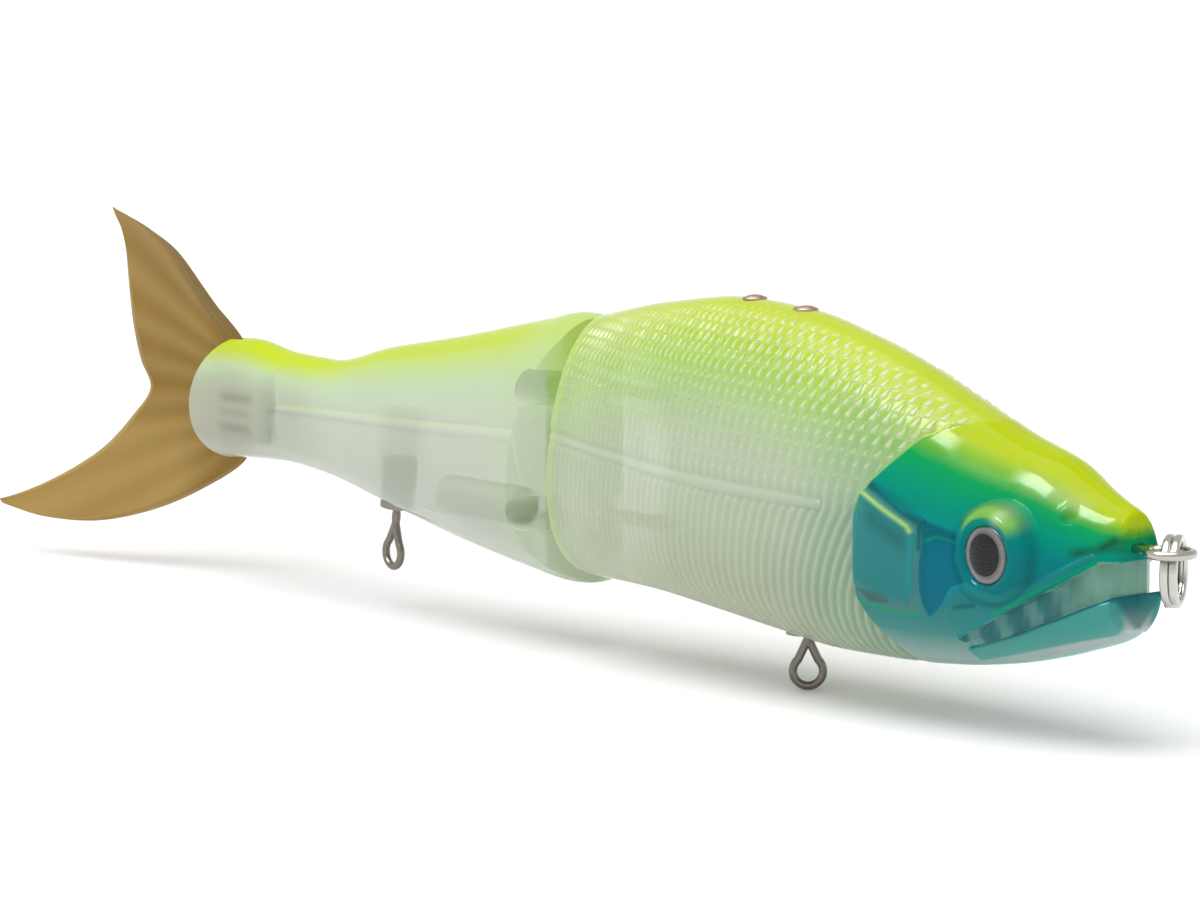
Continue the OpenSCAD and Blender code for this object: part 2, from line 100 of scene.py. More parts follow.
class Arc:
    """Distance along a section from the back's ridge, for any place and section angle."""

    def __init__(self, t):
        self.t = t
        self.x = np.linspace(t[0, 0], t[-1, 0], 240)
        self.a = np.radians(np.linspace(-90, 90, 721))
        y, z = section(t, self.x[:, None], self.a[None, :])
        seg = np.hypot(np.diff(y, axis=1), np.diff(z, axis=1))
        whole = np.concatenate([np.zeros((len(self.x), 1)), np.cumsum(seg, axis=1)], axis=1)
        self.total = whole[:, -1]
        self.s = self.total[:, None] - whole

    def at(self, x, a):
        fx = np.clip((x - self.x[0]) / (self.x[1] - self.x[0]), 0, len(self.x) - 1.001)
        fa = np.clip((a - self.a[0]) / (self.a[1] - self.a[0]), 0, len(self.a) - 1.001)
        i, j = fx.astype(int), fa.astype(int)
        u, v = fx - i, fa - j
        s = self.s
        return ((s[i, j] * (1 - u) + s[i + 1, j] * u) * (1 - v)
                + (s[i, j + 1] * (1 - u) + s[i + 1, j + 1] * u) * v)

    def length(self, x):
        return np.interp(x, self.x, self.total)

    def angles(self, x, n):
        """n section angles at equal steps along the section at place x, from belly to back."""
        k = int(np.clip(round((x - self.x[0]) / (self.x[1] - self.x[0])), 0, len(self.x) - 1))
        along = self.total[k] - self.s[k]
        return np.interp(np.linspace(0, self.total[k], n), along, self.a)

    def level(self, x, z):
        """Distance from the ridge of the surface point at the same height."""
        top, bottom = curve(self.t, x, 1), curve(self.t, x, 2)
        mid = middle(top, bottom)
        c = np.clip(np.abs(z - mid) / np.where(z > mid, top - mid, mid - bottom), 0, 1)
        return self.at(x, np.sign(z - mid) * np.arcsin(c ** np.where(z > mid, 1.0, 1.1)))

    def of_point(self, x, y, z):
        """Distance from the ridge and depth under the surface of any point."""
        top, bottom, half = curve(self.t, x, 1), curve(self.t, x, 2), curve(self.t, x, 3)
        mid = middle(top, bottom)
        h = np.where(z > mid, top - mid, mid - bottom)
        p = np.where(z > mid, 2.0, 2.2)
        cy, cz = np.clip(np.abs(y) / half, 0, 4), np.clip(np.abs(z - mid) / h, 0, 4)
        rho = (cy ** p + cz ** p) ** (1 / p)
        a = np.sign(z - mid) * np.arctan2(cz ** (p / 2), cy ** (p / 2))
        return self.at(x, a), (1 - rho) * np.minimum(half, h)

    def within(self, x):
        return np.clip(x, self.t[0, 0], self.t[-1, 0])


def smooth(lo, hi, v):
    """Smooth step from 0 at lo to 1 at hi, which may be the lower of the two."""
    t = np.clip((v - lo) / (hi - lo), 0, 1)
    return t * t * (3 - 2 * t)


def near(d, w):
    """1 where the distance d is zero, dying away over about the width w."""
    return np.exp(-(d / w) ** 2)


def line_distance(points, x, z):
    """Distance from points to an open line in the side view."""
    best = np.full(np.shape(x), 1e9)
    for (x0, z0), (x1, z1) in zip(points[:-1], points[1:]):
        dx, dz = x1 - x0, z1 - z0
        t = np.clip(((x - x0) * dx + (z - z0) * dz) / (dx * dx + dz * dz), 0, 1)
        best = np.minimum(best, np.hypot(x - x0 - t * dx, z - z0 - t * dz))
    return best


def signed_distance(outline, x, z, round_by=0.0):
    """Signed distance to a closed outline in the side view, negative inside."""
    pts = list(outline) + [outline[0]]
    d = line_distance(pts, x, z)
    inside = np.zeros(np.shape(x), bool)
    for (x0, z0), (x1, z1) in zip(pts[:-1], pts[1:]):
        cross = (z0 > z) != (z1 > z)
        with np.errstate(divide="ignore", invalid="ignore"):
            at = x0 + (z - z0) * (x1 - x0) / (z1 - z0 if z1 != z0 else 1e-9)
        inside ^= cross & (x < at)
    return np.where(inside, -d, d) - round_by


# ---- head and scale layout, side view (x, z), in mm
GILL_Z = [-14, -10, -8.4, -5.2, -1.1, 2.1, 3.9, 5.5, 6.9, 9.5, 11.0, 12.2]
GILL_X = [-33.5, -36.4, -37.2, -37.6, -37.8, -38.0, -37.0, -35.6, -34.2, -31.6, -28.5, -22.0]
PLATE = [
    (-37.3, 3.6), (-33.6, 2.0), (-30.0, 0.5), (-29.1, -0.7), (-29.0, -6.2), (-30.0, -7.3),
    (-33.1, -7.4), (-35.2, -6.9), (-37.2, -6.2)]
FRAME_PLATE = [
    (-37.4, 4.6), (-34.8, 3.4), (-31.5, 2.0), (-28.7, 1.2), (-28.0, -1.0), (-27.7, -6.0),
    (-28.0, -9.0), (-31.0, -9.2), (-33.4, -9.0), (-35.2, -8.7), (-37.6, -8.3)]
# SHADE outlines a painted shadow under the gill plate's lower edge
SHADE = [(-36.6, -7.0), (-35.2, -8.3), (-32.7, -8.2), (-32.6, -7.6), (-34.6, -7.2)]
CHEEK = [
    (-27.4, -1.0), (-26.2, -0.5), (-24.6, -0.7), (-23.6, -0.9), (-23.6, -2.6), (-22.8, -3.8),
    (-22.1, -5.2), (-24.1, -6.4), (-25.7, -7.8), (-26.9, -8.8), (-27.4, -7.5), (-27.6, -6.2),
    (-27.7, -3.0)]
BROW_BAND = [(-28.2, 1.3), (-23.4, 0.2), (-23.5, -0.6), (-26.2, -0.2), (-27.7, -0.8)]
JAW_PLATE = [
    (-24.5, -6.8), (-23.8, -5.8), (-21.7, -5.0), (-19.4, -5.4), (-16.5, -5.9), (-12.8, -4.0),
    (-8, -1.1), (-7.0, -0.7), (-12.8, -4.8), (-16, -6.7), (-19.5, -8.9), (-23.9, -11.2)]
CHIN = [
    (-23.6, -12.4), (-16, -10.0), (-10.1, -7.5), (-4.0, -5.0), (-4.0, -8.8), (-9.1, -10.1),
    (-17.9, -12.5), (-23.4, -13.8)]
MOUTH = [
    (-24, -11.3), (-18, -8.2), (-12.1, -5.0), (-6.5, -1.6), (-3, -1.0),
    (-3, -4.2), (-4.7, -4.9), (-10.1, -7.3), (-16, -9.8), (-22.5, -12.3)]
RIDGE = [(-35.6, 4.6), (-31.1, 2.2), (-28.1, 1.7), (-23.0, 0.6)]
NOSTRIL = (-10.7, 3.0)
FRONT_LINE = [
    (-93, 4.2), (-86.2, 3.5), (-81.2, 3.05), (-77.4, 2.8), (-72.6, 2.4), (-69.1, 2.15),
    (-62.7, 1.8), (-55.8, 1.6), (-49.3, 1.5), (-43.6, 1.4)]
REAR_LINE = [(-152, 1.3), (-122.7, 2.1), (-101, 3.1), (-94, 3.4)]
SCALE_ROW = 1.42                    # from one row of scales to the next

# the scales' spacing along the body, as a running count of scales
PITCH_X = np.linspace(-96, 4, 1001)
pitch = np.interp(PITCH_X, [-96, -86, -76, -64, -50, 4], [0.9, 0.9, 0.95, 1.3, 1.6, 1.6])
SCALE_COUNT = np.concatenate([[0], np.cumsum(0.5 * (1 / pitch[1:] + 1 / pitch[:-1]) * np.diff(PITCH_X))])
ARC_F, ARC_R = Arc(FRONT), Arc(REAR)


def line_height(line, x):
    return np.interp(x, [p[0] for p in line], [p[1] for p in line])


def front_fields(x, y, z, s):
    """Relief height and paint masks of the front section, from a place and its distance from the ridge."""
    whole = ARC_F.length(x)
    gill = np.interp(z, GILL_Z, GILL_X)
    back = gill - x                                   # how far behind the gill's edge
    head = smooth(0.12, -0.12, back)

    def fading(length):
        """1 at the gill's edge, dying away behind it."""
        return np.exp(-np.maximum(back, 0) / length)

    # scales: slanted rows of teeth above the lateral line, turning into ribs below it
    top_edge = np.interp(x, [-92, -83, -54, -38, -28], [4.2, 3.8, 3.3, 3.0, 3.2])
    scaled = (smooth(0.1, 0.5, back) * smooth(top_edge - 1.6, top_edge + 0.4, s)
              * smooth(whole - 2.5, whole - 6, s))
    lip = smooth(SKIRT_X + 0.3, SKIRT_X + 1.6, x)
    lean = np.where(z > 1, 0.25 * (gill + 38) * fading(13), 0.5 * (z - 1) * fading(22))
    u = np.interp(x - lean, PITCH_X, SCALE_COUNT)
    line_z = line_height(FRONT_LINE, x)
    v = (s - ARC_F.level(x, line_z)) / SCALE_ROW
    row = np.floor(v)
    size = 1 - 0.62 * smooth(7.5, 15, s)
    g = np.clip((v - row - 0.5) / size + 0.5, 0, 1)
    col = u + 0.5 * np.mod(row, 2) + 0.22 * (g - 0.5)
    off_col = np.abs(col - np.round(col))
    wide = (0.05 + 0.29 * g) * (0.7 + 0.3 * size)
    tooth = smooth(1.05, 0.45, off_col / wide) * smooth(0.0, 0.14, g) * smooth(1.0, 0.90, g)
    above = smooth(-1.5, 2.5, z - line_z)
    tooth = tooth * scaled * above * (1 - 0.6 * smooth(11, 18, s))
    rib = (0.5 + 0.5 * np.cos(2 * np.pi * u)) ** 1.5
    near_gill = fading(10)
    rib_depth = scaled * (0.035 + 0.075 * (1 - above) * (0.45 + near_gill)
                          + 0.12 * near_gill * (1 - 0.6 * above))
    sunk = 0.75 * scaled * above * (1 - 0.5 * smooth(10, 17, s))
    h = 0.17 * (tooth - sunk) * lip - rib_depth * (1 - rib) * lip

    # lateral line: a smooth raised band between two grooves, with a round front end
    half = np.interp(x, [-92, -80, -60, -43], [0.35, 0.45, 0.60, 0.50])
    d = line_distance(FRONT_LINE, x, z) - half
    keep = smooth(-0.1, 0.35, d)
    band = -0.11 + 0.12 * smooth(0.1, -0.5, d) - 0.12 * near(d - 0.10, 0.24)
    h = h * keep + band * smooth(0.9, 0.3, d) * smooth(-0.2, 0.6, back)
    tooth, rib = tooth * keep, rib * keep * scaled

    # the head stands a little above the scales, and its edge dies out towards the back
    low_back = smooth(2.6, 5.0, s)
    h = h - 0.26 * fading(1.6) * (1 - head) * low_back
    edge = near(back + 0.22, 0.20) * smooth(-9.0, -8.0, z) * low_back
    h = h + 0.06 * edge

    def raised(outline, by, bevel, round_by=0.3):
        sd = signed_distance(outline, x, z, round_by)
        return by * smooth(0.0, -bevel, sd), sd

    side = smooth(1.5, 2.5, np.abs(y))
    plate, sd_plate = raised(PLATE, 0.23, 0.7)
    frame_plate, sd_frame = raised(FRAME_PLATE, 0.12, 0.35, 0.15)
    groove = 0.16 * near(sd_plate - 0.35, 0.25) * smooth(0.2, -0.4, sd_frame)
    trench = 0.22 * near(sd_frame - 0.35, 0.35) * smooth(-1.5, 0.5, z) * smooth(-0.2, -1.2, back)
    cheek, sd_cheek = raised(CHEEK, -0.40, 0.45)
    jaw, sd_jaw = raised(JAW_PLATE, 0.26, 0.4)
    chin, sd_chin = raised(CHIN, 0.16, 0.22, 0.1)
    ridge = 0.22 * near(line_distance(RIDGE, x, z), 0.50)
    sd_mouth = signed_distance(MOUTH, x, z)
    soft_lip = 0.16 * near(np.maximum(sd_mouth, 0), 0.30) * smooth(-24.5, -20, x)
    h = h + side * head * (plate + frame_plate - groove - trench + cheek + jaw + chin + ridge - soft_lip)

    # nostril: a round dimple with a raised rim behind it
    rn = np.hypot(x - NOSTRIL[0], z - NOSTRIL[1])
    h = h + side * (0.20 * near(rn - 1.05, 0.42) * smooth(0.6, -0.8, x - NOSTRIL[0])
                    - 0.48 * smooth(0.85, 0.15, rn))

    def stroke(points, w):
        return near(line_distance(points, x, z), w) * side

    def inside(sd):
        return smooth(0.12, -0.12, sd) * side

    def strokes(*rows):
        return np.maximum.reduce([share * stroke(points, w) for share, w, points in rows])

    eye_d = np.hypot(x - EYE[0], z - EYE[1])
    up = (z - EYE[1]) / np.maximum(eye_d, 0.1)
    # painted highlights: a pale line on the gill plate's top edge and the head's raised edge, green lines on
    # the lower frame, the cheek's top, the upper jaw and the gill's edge, and bright teal on the plate's
    # bevel, the ridge, the jaw plate and the chin line
    edge_highlight = np.maximum(
        stroke([(-37.0, 3.55), (-33.6, 1.95), (-30.0, 0.45), (-29.5, -0.1)], 0.24),
        0.9 * edge * smooth(0.5, 3.0, z))
    green_edge_highlight = strokes(
        (0.9, 0.22, [(-37.7, -8.25), (-35.2, -8.65), (-33.4, -8.95), (-31.0, -9.15), (-28.1, -8.95)]),
        (0.8, 0.16, [(-27.4, -0.85), (-26.2, -0.35), (-24.6, -0.55), (-23.6, -0.8)]),
        (0.9, 0.18, [(-18, -7.9), (-12.8, -4.9), (-8.1, -2.2), (-6.4, -1.3)]),
        (0.5, 0.20, [(-36.4, 1.4), (-37.3, 3.4), (-37.9, 1.0)]))
    teal_edge_highlight = strokes(
        (1.0, 0.30, [(-29.15, -0.9), (-29.1, -6.2), (-30.0, -7.2)]),
        (0.7, 0.34, RIDGE),
        (0.8, 0.20, [(-24.2, -9.5), (-24.4, -6.9), (-23.7, -5.9), (-21.7, -5.1), (-19.6, -5.3)]),
        (0.9, 0.20, [(-23.6, -11.0), (-20.5, -9.4), (-18, -8.0)]))
    # painted shade: dark teal in the trench under the ridge, at the plate's edge, in the chin crease and
    # round the socket's foot; the jaw tip and the jaw's middle seam are dark as well
    dark_and_crease_shade = strokes(
        (1.2, 0.55, [(-36.4, 4.5), (-34.6, 3.8), (-31.4, 2.2), (-29.0, 1.2)]),
        (1.0, 0.36, [(-28.5, 0.9), (-28.2, -1.8)]),
        (0.6, 0.90, [(-34.9, 0.9), (-33.2, 0.0), (-30.6, -1.3)]),
        (1.0, 0.22, [(-23.0, -12.2), (-16, -9.95), (-10.1, -7.45), (-4.9, -5.1)]),
        (0.8, 0.32, [(-7.5, -5.9), (-4.8, -4.9)]),
        (0.7, 0.30, [(-23.0, -7.6), (-20.4, -7.1)]))
    jaw_tip = (smooth(-5.25, -4.95, x) * smooth(-4.2, -4.8, z) * (0.25 + 0.6 * smooth(-5.8, -5.2, z))
               * smooth(-9.0, -8.0, z))
    jaw_seam = (0.8 * smooth(0.9, 0.45, np.abs(y)) * smooth(-5.5, -5.0, x) * smooth(-8.9, -8.3, z)
                * smooth(-4.3, -4.9, z))
    dark_and_crease_shade = np.maximum.reduce([dark_and_crease_shade, jaw_tip, jaw_seam, 0.45 * near(eye_d - 5.4, 0.3) * side])
    seen_wire = strokes(
        (0.9, 0.50, [(-8.8, -0.5), (-8.0, -0.3)]),
        (1.0, 0.60, [(-6.2, 0.2), (-5.2, 0.9)]),
        (0.7, 0.55, [(-9.2, -0.6), (-5.0, 0.3)]))
    # painted highlights: pale patches on the brow above the nostril and on the socket's upper front
    snout_highlight = (0.9 * stroke([(-16.2, 6.1), (-13.4, 5.4), (-9.6, 3.9)], 0.9)
                 + 1.9 * near(np.hypot(x - EYE[0] - 1.7, z - EYE[1] - 4.3), 0.85) * side)
    belly_z = np.interp(x, [-30, -23.4, -17.9, -9.1, -4.7], [-15.2, -13.9, -12.5, -10.1, -9.0])
    return {
        "relief": h, "head": head, "tooth": tooth, "rib": rib, "ridge_mm": s, "share": s / whole,
        "edge_highlight": edge_highlight, "green_edge_highlight": green_edge_highlight * head, "teal_edge_highlight": teal_edge_highlight * head,
        "dark_and_crease_shade": np.minimum(dark_and_crease_shade, 1) * head, "plate": inside(sd_plate), "frame_plate": inside(sd_frame),
        "cheek": inside(sd_cheek), "chin": inside(sd_chin), "jaw": inside(sd_jaw),
        "brow": inside(signed_distance(BROW_BAND, x, z, 0.1)),
        # shade: a painted shadow under the gill plate
        "shade": inside(signed_distance(SHADE, x, z, 0.1)),
        # lateral: paler paint on the raised lateral line, partly a painted highlight
        "seen_wire": seen_wire, "snout_highlight": snout_highlight, "lateral": smooth(0.15, -0.15, d),
        "socket_top": smooth(0.45, 0.80, up) * smooth(3.85, 4.25, eye_d) * smooth(5.9, 5.2, eye_d) * side,
        "matt": near(line_distance([(-25.6, 8.7), (-22.6, 8.0), (-19.6, 7.2)], x, z), 1.5),
        # groove: painted shade in the valleys between the ribs near the gill
        # rim: a painted glow along the skirt's rim
        "groove": (1 - rib) * scaled * near_gill * (1 - above), "rim": smooth(-89.9, -91.3, x),
        "belly": smooth(0.15, -0.15, z - belly_z) * head,
        "bars": 0.5 + 0.5 * np.tanh(3 * np.cos(2 * np.pi * (x + 0.35 * z) / MOUTH_BAR_PITCH))}


def rear_fields(x, y, z, s):
    """Relief height and paint masks of the rear section."""
    whole = ARC_R.length(x)
    d = line_distance(REAR_LINE, x, z) - np.interp(x, [-152, -100], [0.35, 0.8])
    band = 0.03 * smooth(0.0, -0.4, d) - 0.07 * near(d - 0.1, 0.18)
    ribs = np.interp(x, [-170, -90], [0, 95])
    faint = smooth(-150, -120, x) * smooth(3.5, 6, s) * smooth(whole - 2.5, whole - 6, s)
    ripple = 0.012 * np.cos(2 * np.pi * ribs) * faint * smooth(0.2, 0.8, d)
    off = z - line_height(REAR_LINE, x)
    keep = smooth(-153, -149, x)
    # the tail's pinned root, seen faintly through the skin
    bars = np.maximum.reduce([k * near(z - at, 0.72) for k, at in ((1.0, -1.9), (0.6, 0.0), (1.0, 1.85))])
    bars = bars * smooth(-163.2, -160.2, x) * smooth(-154.4, -156.4, x)
    spots = np.maximum(near(np.hypot(x + 151.2, z - 1.0), 0.95), near(np.hypot(x + 150.9, z + 2.0), 0.95))
    return {
        "relief": band * smooth(2.0, 0.5, d) * keep + ripple - 0.012 * faint,
        # a painted highlight along the rear lateral line's upper edge and painted shade along its lower edge
        # lateral: paler paint on the rear lateral line, partly a painted highlight
        "lateral": smooth(0.15, -0.15, d) * keep, "line_highlight": near(off - 0.42, 0.28) * keep,
        "line_shade": near(off + 0.45, 0.40) * keep, "seen_bars": np.maximum(bars, 0.55 * spots),
        "ridge_mm": s, "share": s / whole}


# ---- mesh helpers, in mm
def new_mesh(verts, faces):
    me = bpy.data.meshes.new("mesh")
    me.from_pydata((np.asarray(verts) * MM).tolist(), [], faces)
    me.validate()
    me.update()
    bm = bmesh.new()
    bm.from_mesh(me)
    bmesh.ops.recalc_face_normals(bm, faces=bm.faces)
    if bm.calc_volume(signed=True) < 0:
        bmesh.ops.reverse_faces(bm, faces=bm.faces)
    bm.to_mesh(me)
    bm.free()
    return me


def vectors(items, what):
    """One vector of a mesh's vertices or faces for each row."""
    v = np.empty(len(items) * 3)
    items.foreach_get(what, v)
    return v.reshape(-1, 3)


def coords(me):
    return vectors(me.vertices, "co") / MM


def store(me, name, values):
    me.attributes.new(name, "FLOAT", "POINT").data.foreach_set("value", values.astype(np.float32))


def linked(name, data):
    ob = bpy.data.objects.new(name, data)
    bpy.context.scene.collection.objects.link(ob)
    return ob


def csg(me, steps):
    """Applies (operation, mesh) steps to a closed mesh and returns a new closed mesh."""
    ob = linked("work", me)
    cutters = []
    for op, cutter in steps:
        cutters.append(linked("cutter", cutter))
        mod = ob.modifiers.new(op, "BOOLEAN")
        mod.operation = op
        mod.solver = "MANIFOLD"
        mod.object = cutters[-1]
    out = bpy.data.meshes.new_from_object(ob.evaluated_get(bpy.context.evaluated_depsgraph_get()))
    for o in [ob, *cutters]:
        bpy.data.objects.remove(o)
    return out


def differences(*cutters):
    return [("DIFFERENCE", cutter) for cutter in cutters]


def cut(me, *cutters):
    return csg(me, differences(*cutters))


def quads(idx):
    """The faces of a grid of vertex numbers."""
    return np.stack([idx[:-1, :-1], idx[:-1, 1:], idx[1:, 1:], idx[1:, :-1]], axis=-1).reshape(-1, 4)


def snout_tip(p, x):
    """Rounds the snout off with six more rings that shrink towards the tip."""
    mid = p[-1, :, 2].mean()
    turn = np.radians(np.linspace(15, 90, 6))[:, None, None]
    ring = (p[-1:] - [0, 0, mid]) * [0, 1, 1]
    shrink = 1 - (1 - np.cos(turn)) * 0.9 / (np.linalg.norm(ring, axis=-1, keepdims=True) + 0.01)
    return np.concatenate([p, ring * np.maximum(shrink, 0) + [x, 0, mid] + np.sin(turn) * [NOSE_X - x, 0, 0]])


def grid_half(arc, xs, nv, fields):
    """Left half of a body as one closed mesh, with relief on its outer side and a flat seam side."""
    a = np.array([arc.angles(x, nv) for x in xs])
    x = np.repeat(xs[:, None], nv, axis=1)
    y, z = section(arc.t, x, a)
    p = np.stack([x, y, z], axis=-1)
    nrm = np.cross(np.gradient(p, axis=1), np.gradient(p, axis=0))
    nrm /= np.linalg.norm(nrm, axis=-1, keepdims=True) + 1e-12
    nrm[:, 0], nrm[:, -1] = (0, 0, -1), (0, 0, 1)
    p = p + nrm * fields(x, y, z, arc.at(x, a))["relief"][..., None]
    if fields is front_fields:
        p = snout_tip(eye_socket(p), xs[-1])
    p[..., 1] = np.maximum(p[..., 1], SEAM_GAP)
    n = len(p)
    idx = np.arange(n * nv).reshape(n, nv)
    faces = quads(idx).tolist()
    faces += np.stack([idx[:-1, 0], idx[1:, 0], idx[1:, -1], idx[:-1, -1]], axis=-1).tolist()
    faces += [idx[0][::-1].tolist(), idx[-1].tolist()]
    return new_mesh(p.reshape(-1, 3), faces)


def skin(rings):
    """Closed mesh through rings of points, capped at both ends."""
    n, m = len(rings), len(rings[0])
    faces = [[i * m + j, i * m + (j + 1) % m, (i + 1) * m + (j + 1) % m, (i + 1) * m + j]
             for i in range(n - 1) for j in range(m)]
    faces += [list(range(m - 1, -1, -1)), list(range((n - 1) * m, n * m))]
    return new_mesh(np.concatenate(rings), faces)


def tube_body(t, xs, nv, inset):
    """A whole body between two places as one closed mesh, inset by a wall."""
    a = np.radians(np.linspace(-90, 90, nv))
    rings = []
    for x in xs:
        y, z = section(t, np.full(nv, x), a, inset)
        left = np.stack([np.full(nv, x), y, z], axis=1)
        rings.append(np.concatenate([left, left[-2:0:-1] * [1, -1, 1]]))
    return skin(rings)


def circle(r, n):
    t = np.linspace(0, 2 * np.pi, n, endpoint=False)
    return np.stack([r * np.cos(t), r * np.sin(t)], axis=1)


def rod(p0, p1, r, n=64):
    """A closed round bar between two points."""
    p0, p1 = np.array([p0, p1], float)
    d = (p1 - p0) / np.linalg.norm(p1 - p0)
    s = np.cross(d, [0, 0, 1.0]) if abs(d[2]) < 0.9 else np.cross(d, [1.0, 0, 0])
    s /= np.linalg.norm(s)
    c = circle(r, n)
    return skin([p + c[:, :1] * s + c[:, 1:] * np.cross(d, s) for p in (p0, p1)])


def upright(x, z0, z1, r, n=64):
    """A round bar on the middle plane, parallel to Z."""
    return rod((x, 0, z0), (x, 0, z1), r, n)


def lengthwise(x0, x1, z, r):
    """A round bar on the middle plane, parallel to X."""
    return rod((x0, 0, z), (x1, 0, z), r)


def crossways(x, half, z, r, n=64):
    """A round bar across the middle plane, parallel to Y."""
    return rod((x, -half, z), (x, half, z), r, n)


def brick(x0, x1, y0, y1, z0, z1):
    return skin([np.array([[x, y0, z0], [x, y1, z0], [x, y1, z1], [x, y0, z1]], float) for x in (x0, x1)])


def prism_y(points, half):
    """Prism across the body with an outline in the side view."""
    o = np.array(points, float)
    return skin([np.stack([o[:, 0], np.full(len(o), y), o[:, 1]], axis=1) for y in (-half, half)])


def prism_z(points, z0, z1):
    """Upright prism with an outline in the plan view."""
    o = np.array(points, float)
    return skin([np.stack([o[:, 0], o[:, 1], np.full(len(o), z)], axis=1) for z in (z0, z1)])


def rounded(points, r, n=5):
    """An outline with its corners rounded."""
    pts = np.array(points, float)
    out = []
    for i in range(len(pts)):
        p, a, b = pts[i], pts[i - 1], pts[(i + 1) % len(pts)]
        ra = min(r, 0.45 * np.linalg.norm(a - p), 0.45 * np.linalg.norm(b - p))
        s = p + (a - p) / np.linalg.norm(a - p) * ra
        e = p + (b - p) / np.linalg.norm(b - p) * ra
        for t in np.arange(n + 1) / n:
            out.append((1 - t) ** 2 * s + 2 * t * (1 - t) * p + t * t * e)
    return np.array(out)


def turned(me, rot_y=0.0, rot_z=0.0, move=(0, 0, 0)):
    me.transform(Matrix.Translation(Vector(move) * MM)
                 @ Matrix.Rotation(rot_y, 4, "Y") @ Matrix.Rotation(rot_z, 4, "Z"))
    return me


def sweep(path, shape, up, taper=None):
    """A bar of any cross-section along a smooth line, with one side of the section held towards up."""
    up = np.array(up, float)
    tan = np.gradient(path, axis=0)
    tan /= np.linalg.norm(tan, axis=1, keepdims=True)
    rings = []
    for i, (at, along) in enumerate(zip(path, tan)):
        s = up - along * (up @ along)
        s /= np.linalg.norm(s)
        size = 1.0 if taper is None else taper[i]
        rings.append(at + size * (shape[:, :1] * np.cross(along, s) + shape[:, 1:] * s))
    return skin(rings)


def smooth_path(points, step, rounds):
    """Corner-cut and evenly stepped line through rough points."""
    p = np.array(points, float)
    for _ in range(rounds):
        a, b = p[:-1], p[1:]
        corners = np.stack([0.75 * a + 0.25 * b, 0.25 * a + 0.75 * b], axis=1).reshape(-1, 3)
        p = np.concatenate([p[:1], corners, p[-1:]])
    d = np.concatenate([[0], np.cumsum(np.linalg.norm(np.diff(p, axis=0), axis=1))])
    t = np.linspace(0, d[-1], max(8, int(round(d[-1] / step))))
    return np.stack([np.interp(t, d, p[:, k]) for k in range(3)], axis=1)


def lathe(profile, n):
    """A turned shape about the Z axis; the profile runs from one axis end to the other."""
    ang = np.linspace(0, 2 * np.pi, n, endpoint=False)
    verts, faces, rows = [], [], []
    for r, z in profile:
        count = 1 if r < 1e-6 else n
        rows.append(list(range(len(verts), len(verts) + count)))
        verts += [[r * math.cos(t), r * math.sin(t), z] for t in ang[:count]]
    for a, b in zip(rows[:-1], rows[1:]):
        for j in range(n):
            k = (j + 1) % n
            if len(a) == 1:
                faces.append([a[0], b[j], b[k]])
            elif len(b) == 1:
                faces.append([a[j], a[k], b[0]])
            else:
                faces.append([a[j], a[k], b[k], b[j]])
    return new_mesh(verts, faces)


def mirrored(me):
    out = me.copy()
    out.transform(Matrix.Scale(-1, 4, (0, 1, 0)))
    out.flip_normals()
    return out


def piece(name, me, body, slot, materials, replaces=(), sharp=34):
    """Makes a mesh a piece of the part; edges sharper than the given angle stay sharp."""
    me.name = name
    me.materials.clear()
    for m in materials:
        me.materials.append(m)
    me.shade_smooth()
    if sharp:
        me.set_sharp_from_angle(angle=math.radians(sharp))
    ob = linked(name, me)
    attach(ob, body)
    if replaces:
        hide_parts(*replaces)


# ---- wires
def bent_eye(loop_r, anchor_r, length, wire_r, spread, turn, at):
    """One bent wire: a ring around the front, twin legs back, and hooked ends around an anchor post."""
    a0, b0 = math.asin(spread / loop_r), math.asin(spread / anchor_r)

    def arc(x, r, start, stop, n):
        return [(x + r * math.cos(t), r * math.sin(t), 0) for t in np.linspace(start, stop, n)]

    rough = (arc(-length, anchor_r, math.pi * 0.96, b0, 31)
             + arc(0, loop_r, math.pi - a0, -math.pi + a0, 61)
             + arc(-length, anchor_r, -b0, -math.pi * 0.96, 31))
    me = sweep(smooth_path(rough, 0.16, 2), circle(wire_r, 28), (0, 0, 1))
    return turned(me, rot_z=turn, move=at)


def tie_wire(wire_r):
    return bent_eye(2.4, 2.0, 10.6, wire_r, 0.53, 0.0, (0, 0, 0))


def hinge_wire(wire_r, z):
    return bent_eye(1.4, 1.6, 9.8, wire_r, 0.62, math.pi, (HINGE_X, 0, z))


def split_ring():
    """Two turns of round-edged spring wire, stepping across once."""
    turns = 2 * np.pi * np.linspace(0.0, 2.0, 361)
    step = 0.475 * np.tanh((turns - 2 * np.pi) / 0.35)
    t = np.linspace(0, 2 * np.pi, 24, endpoint=False)
    shape = np.stack([np.sign(np.cos(t)) * np.abs(np.cos(t)) ** 0.75 * 0.44,
                      np.sign(np.sin(t)) * np.abs(np.sin(t)) ** 0.75 * 0.48], axis=1)
    start = math.radians(250)
    coil = np.stack([3.5 * np.cos(turns + start), 3.5 * np.sin(turns + start), step], axis=1)
    ends = np.minimum(1, 0.35 + np.minimum(np.arange(361), np.arange(361)[::-1]) / 10.0)
    ring = sweep(coil, shape, (0, 0, 1), ends)
    drop, hang = 2.25, math.radians(125)
    ring.transform(Matrix.Translation(Vector((2.4 * math.cos(hang), 2.4 * math.sin(hang), -drop)) * MM)
                   @ Matrix.Rotation(hang, 4, "Z") @ Matrix.Rotation(math.pi / 2, 4, "X"))
    return ring


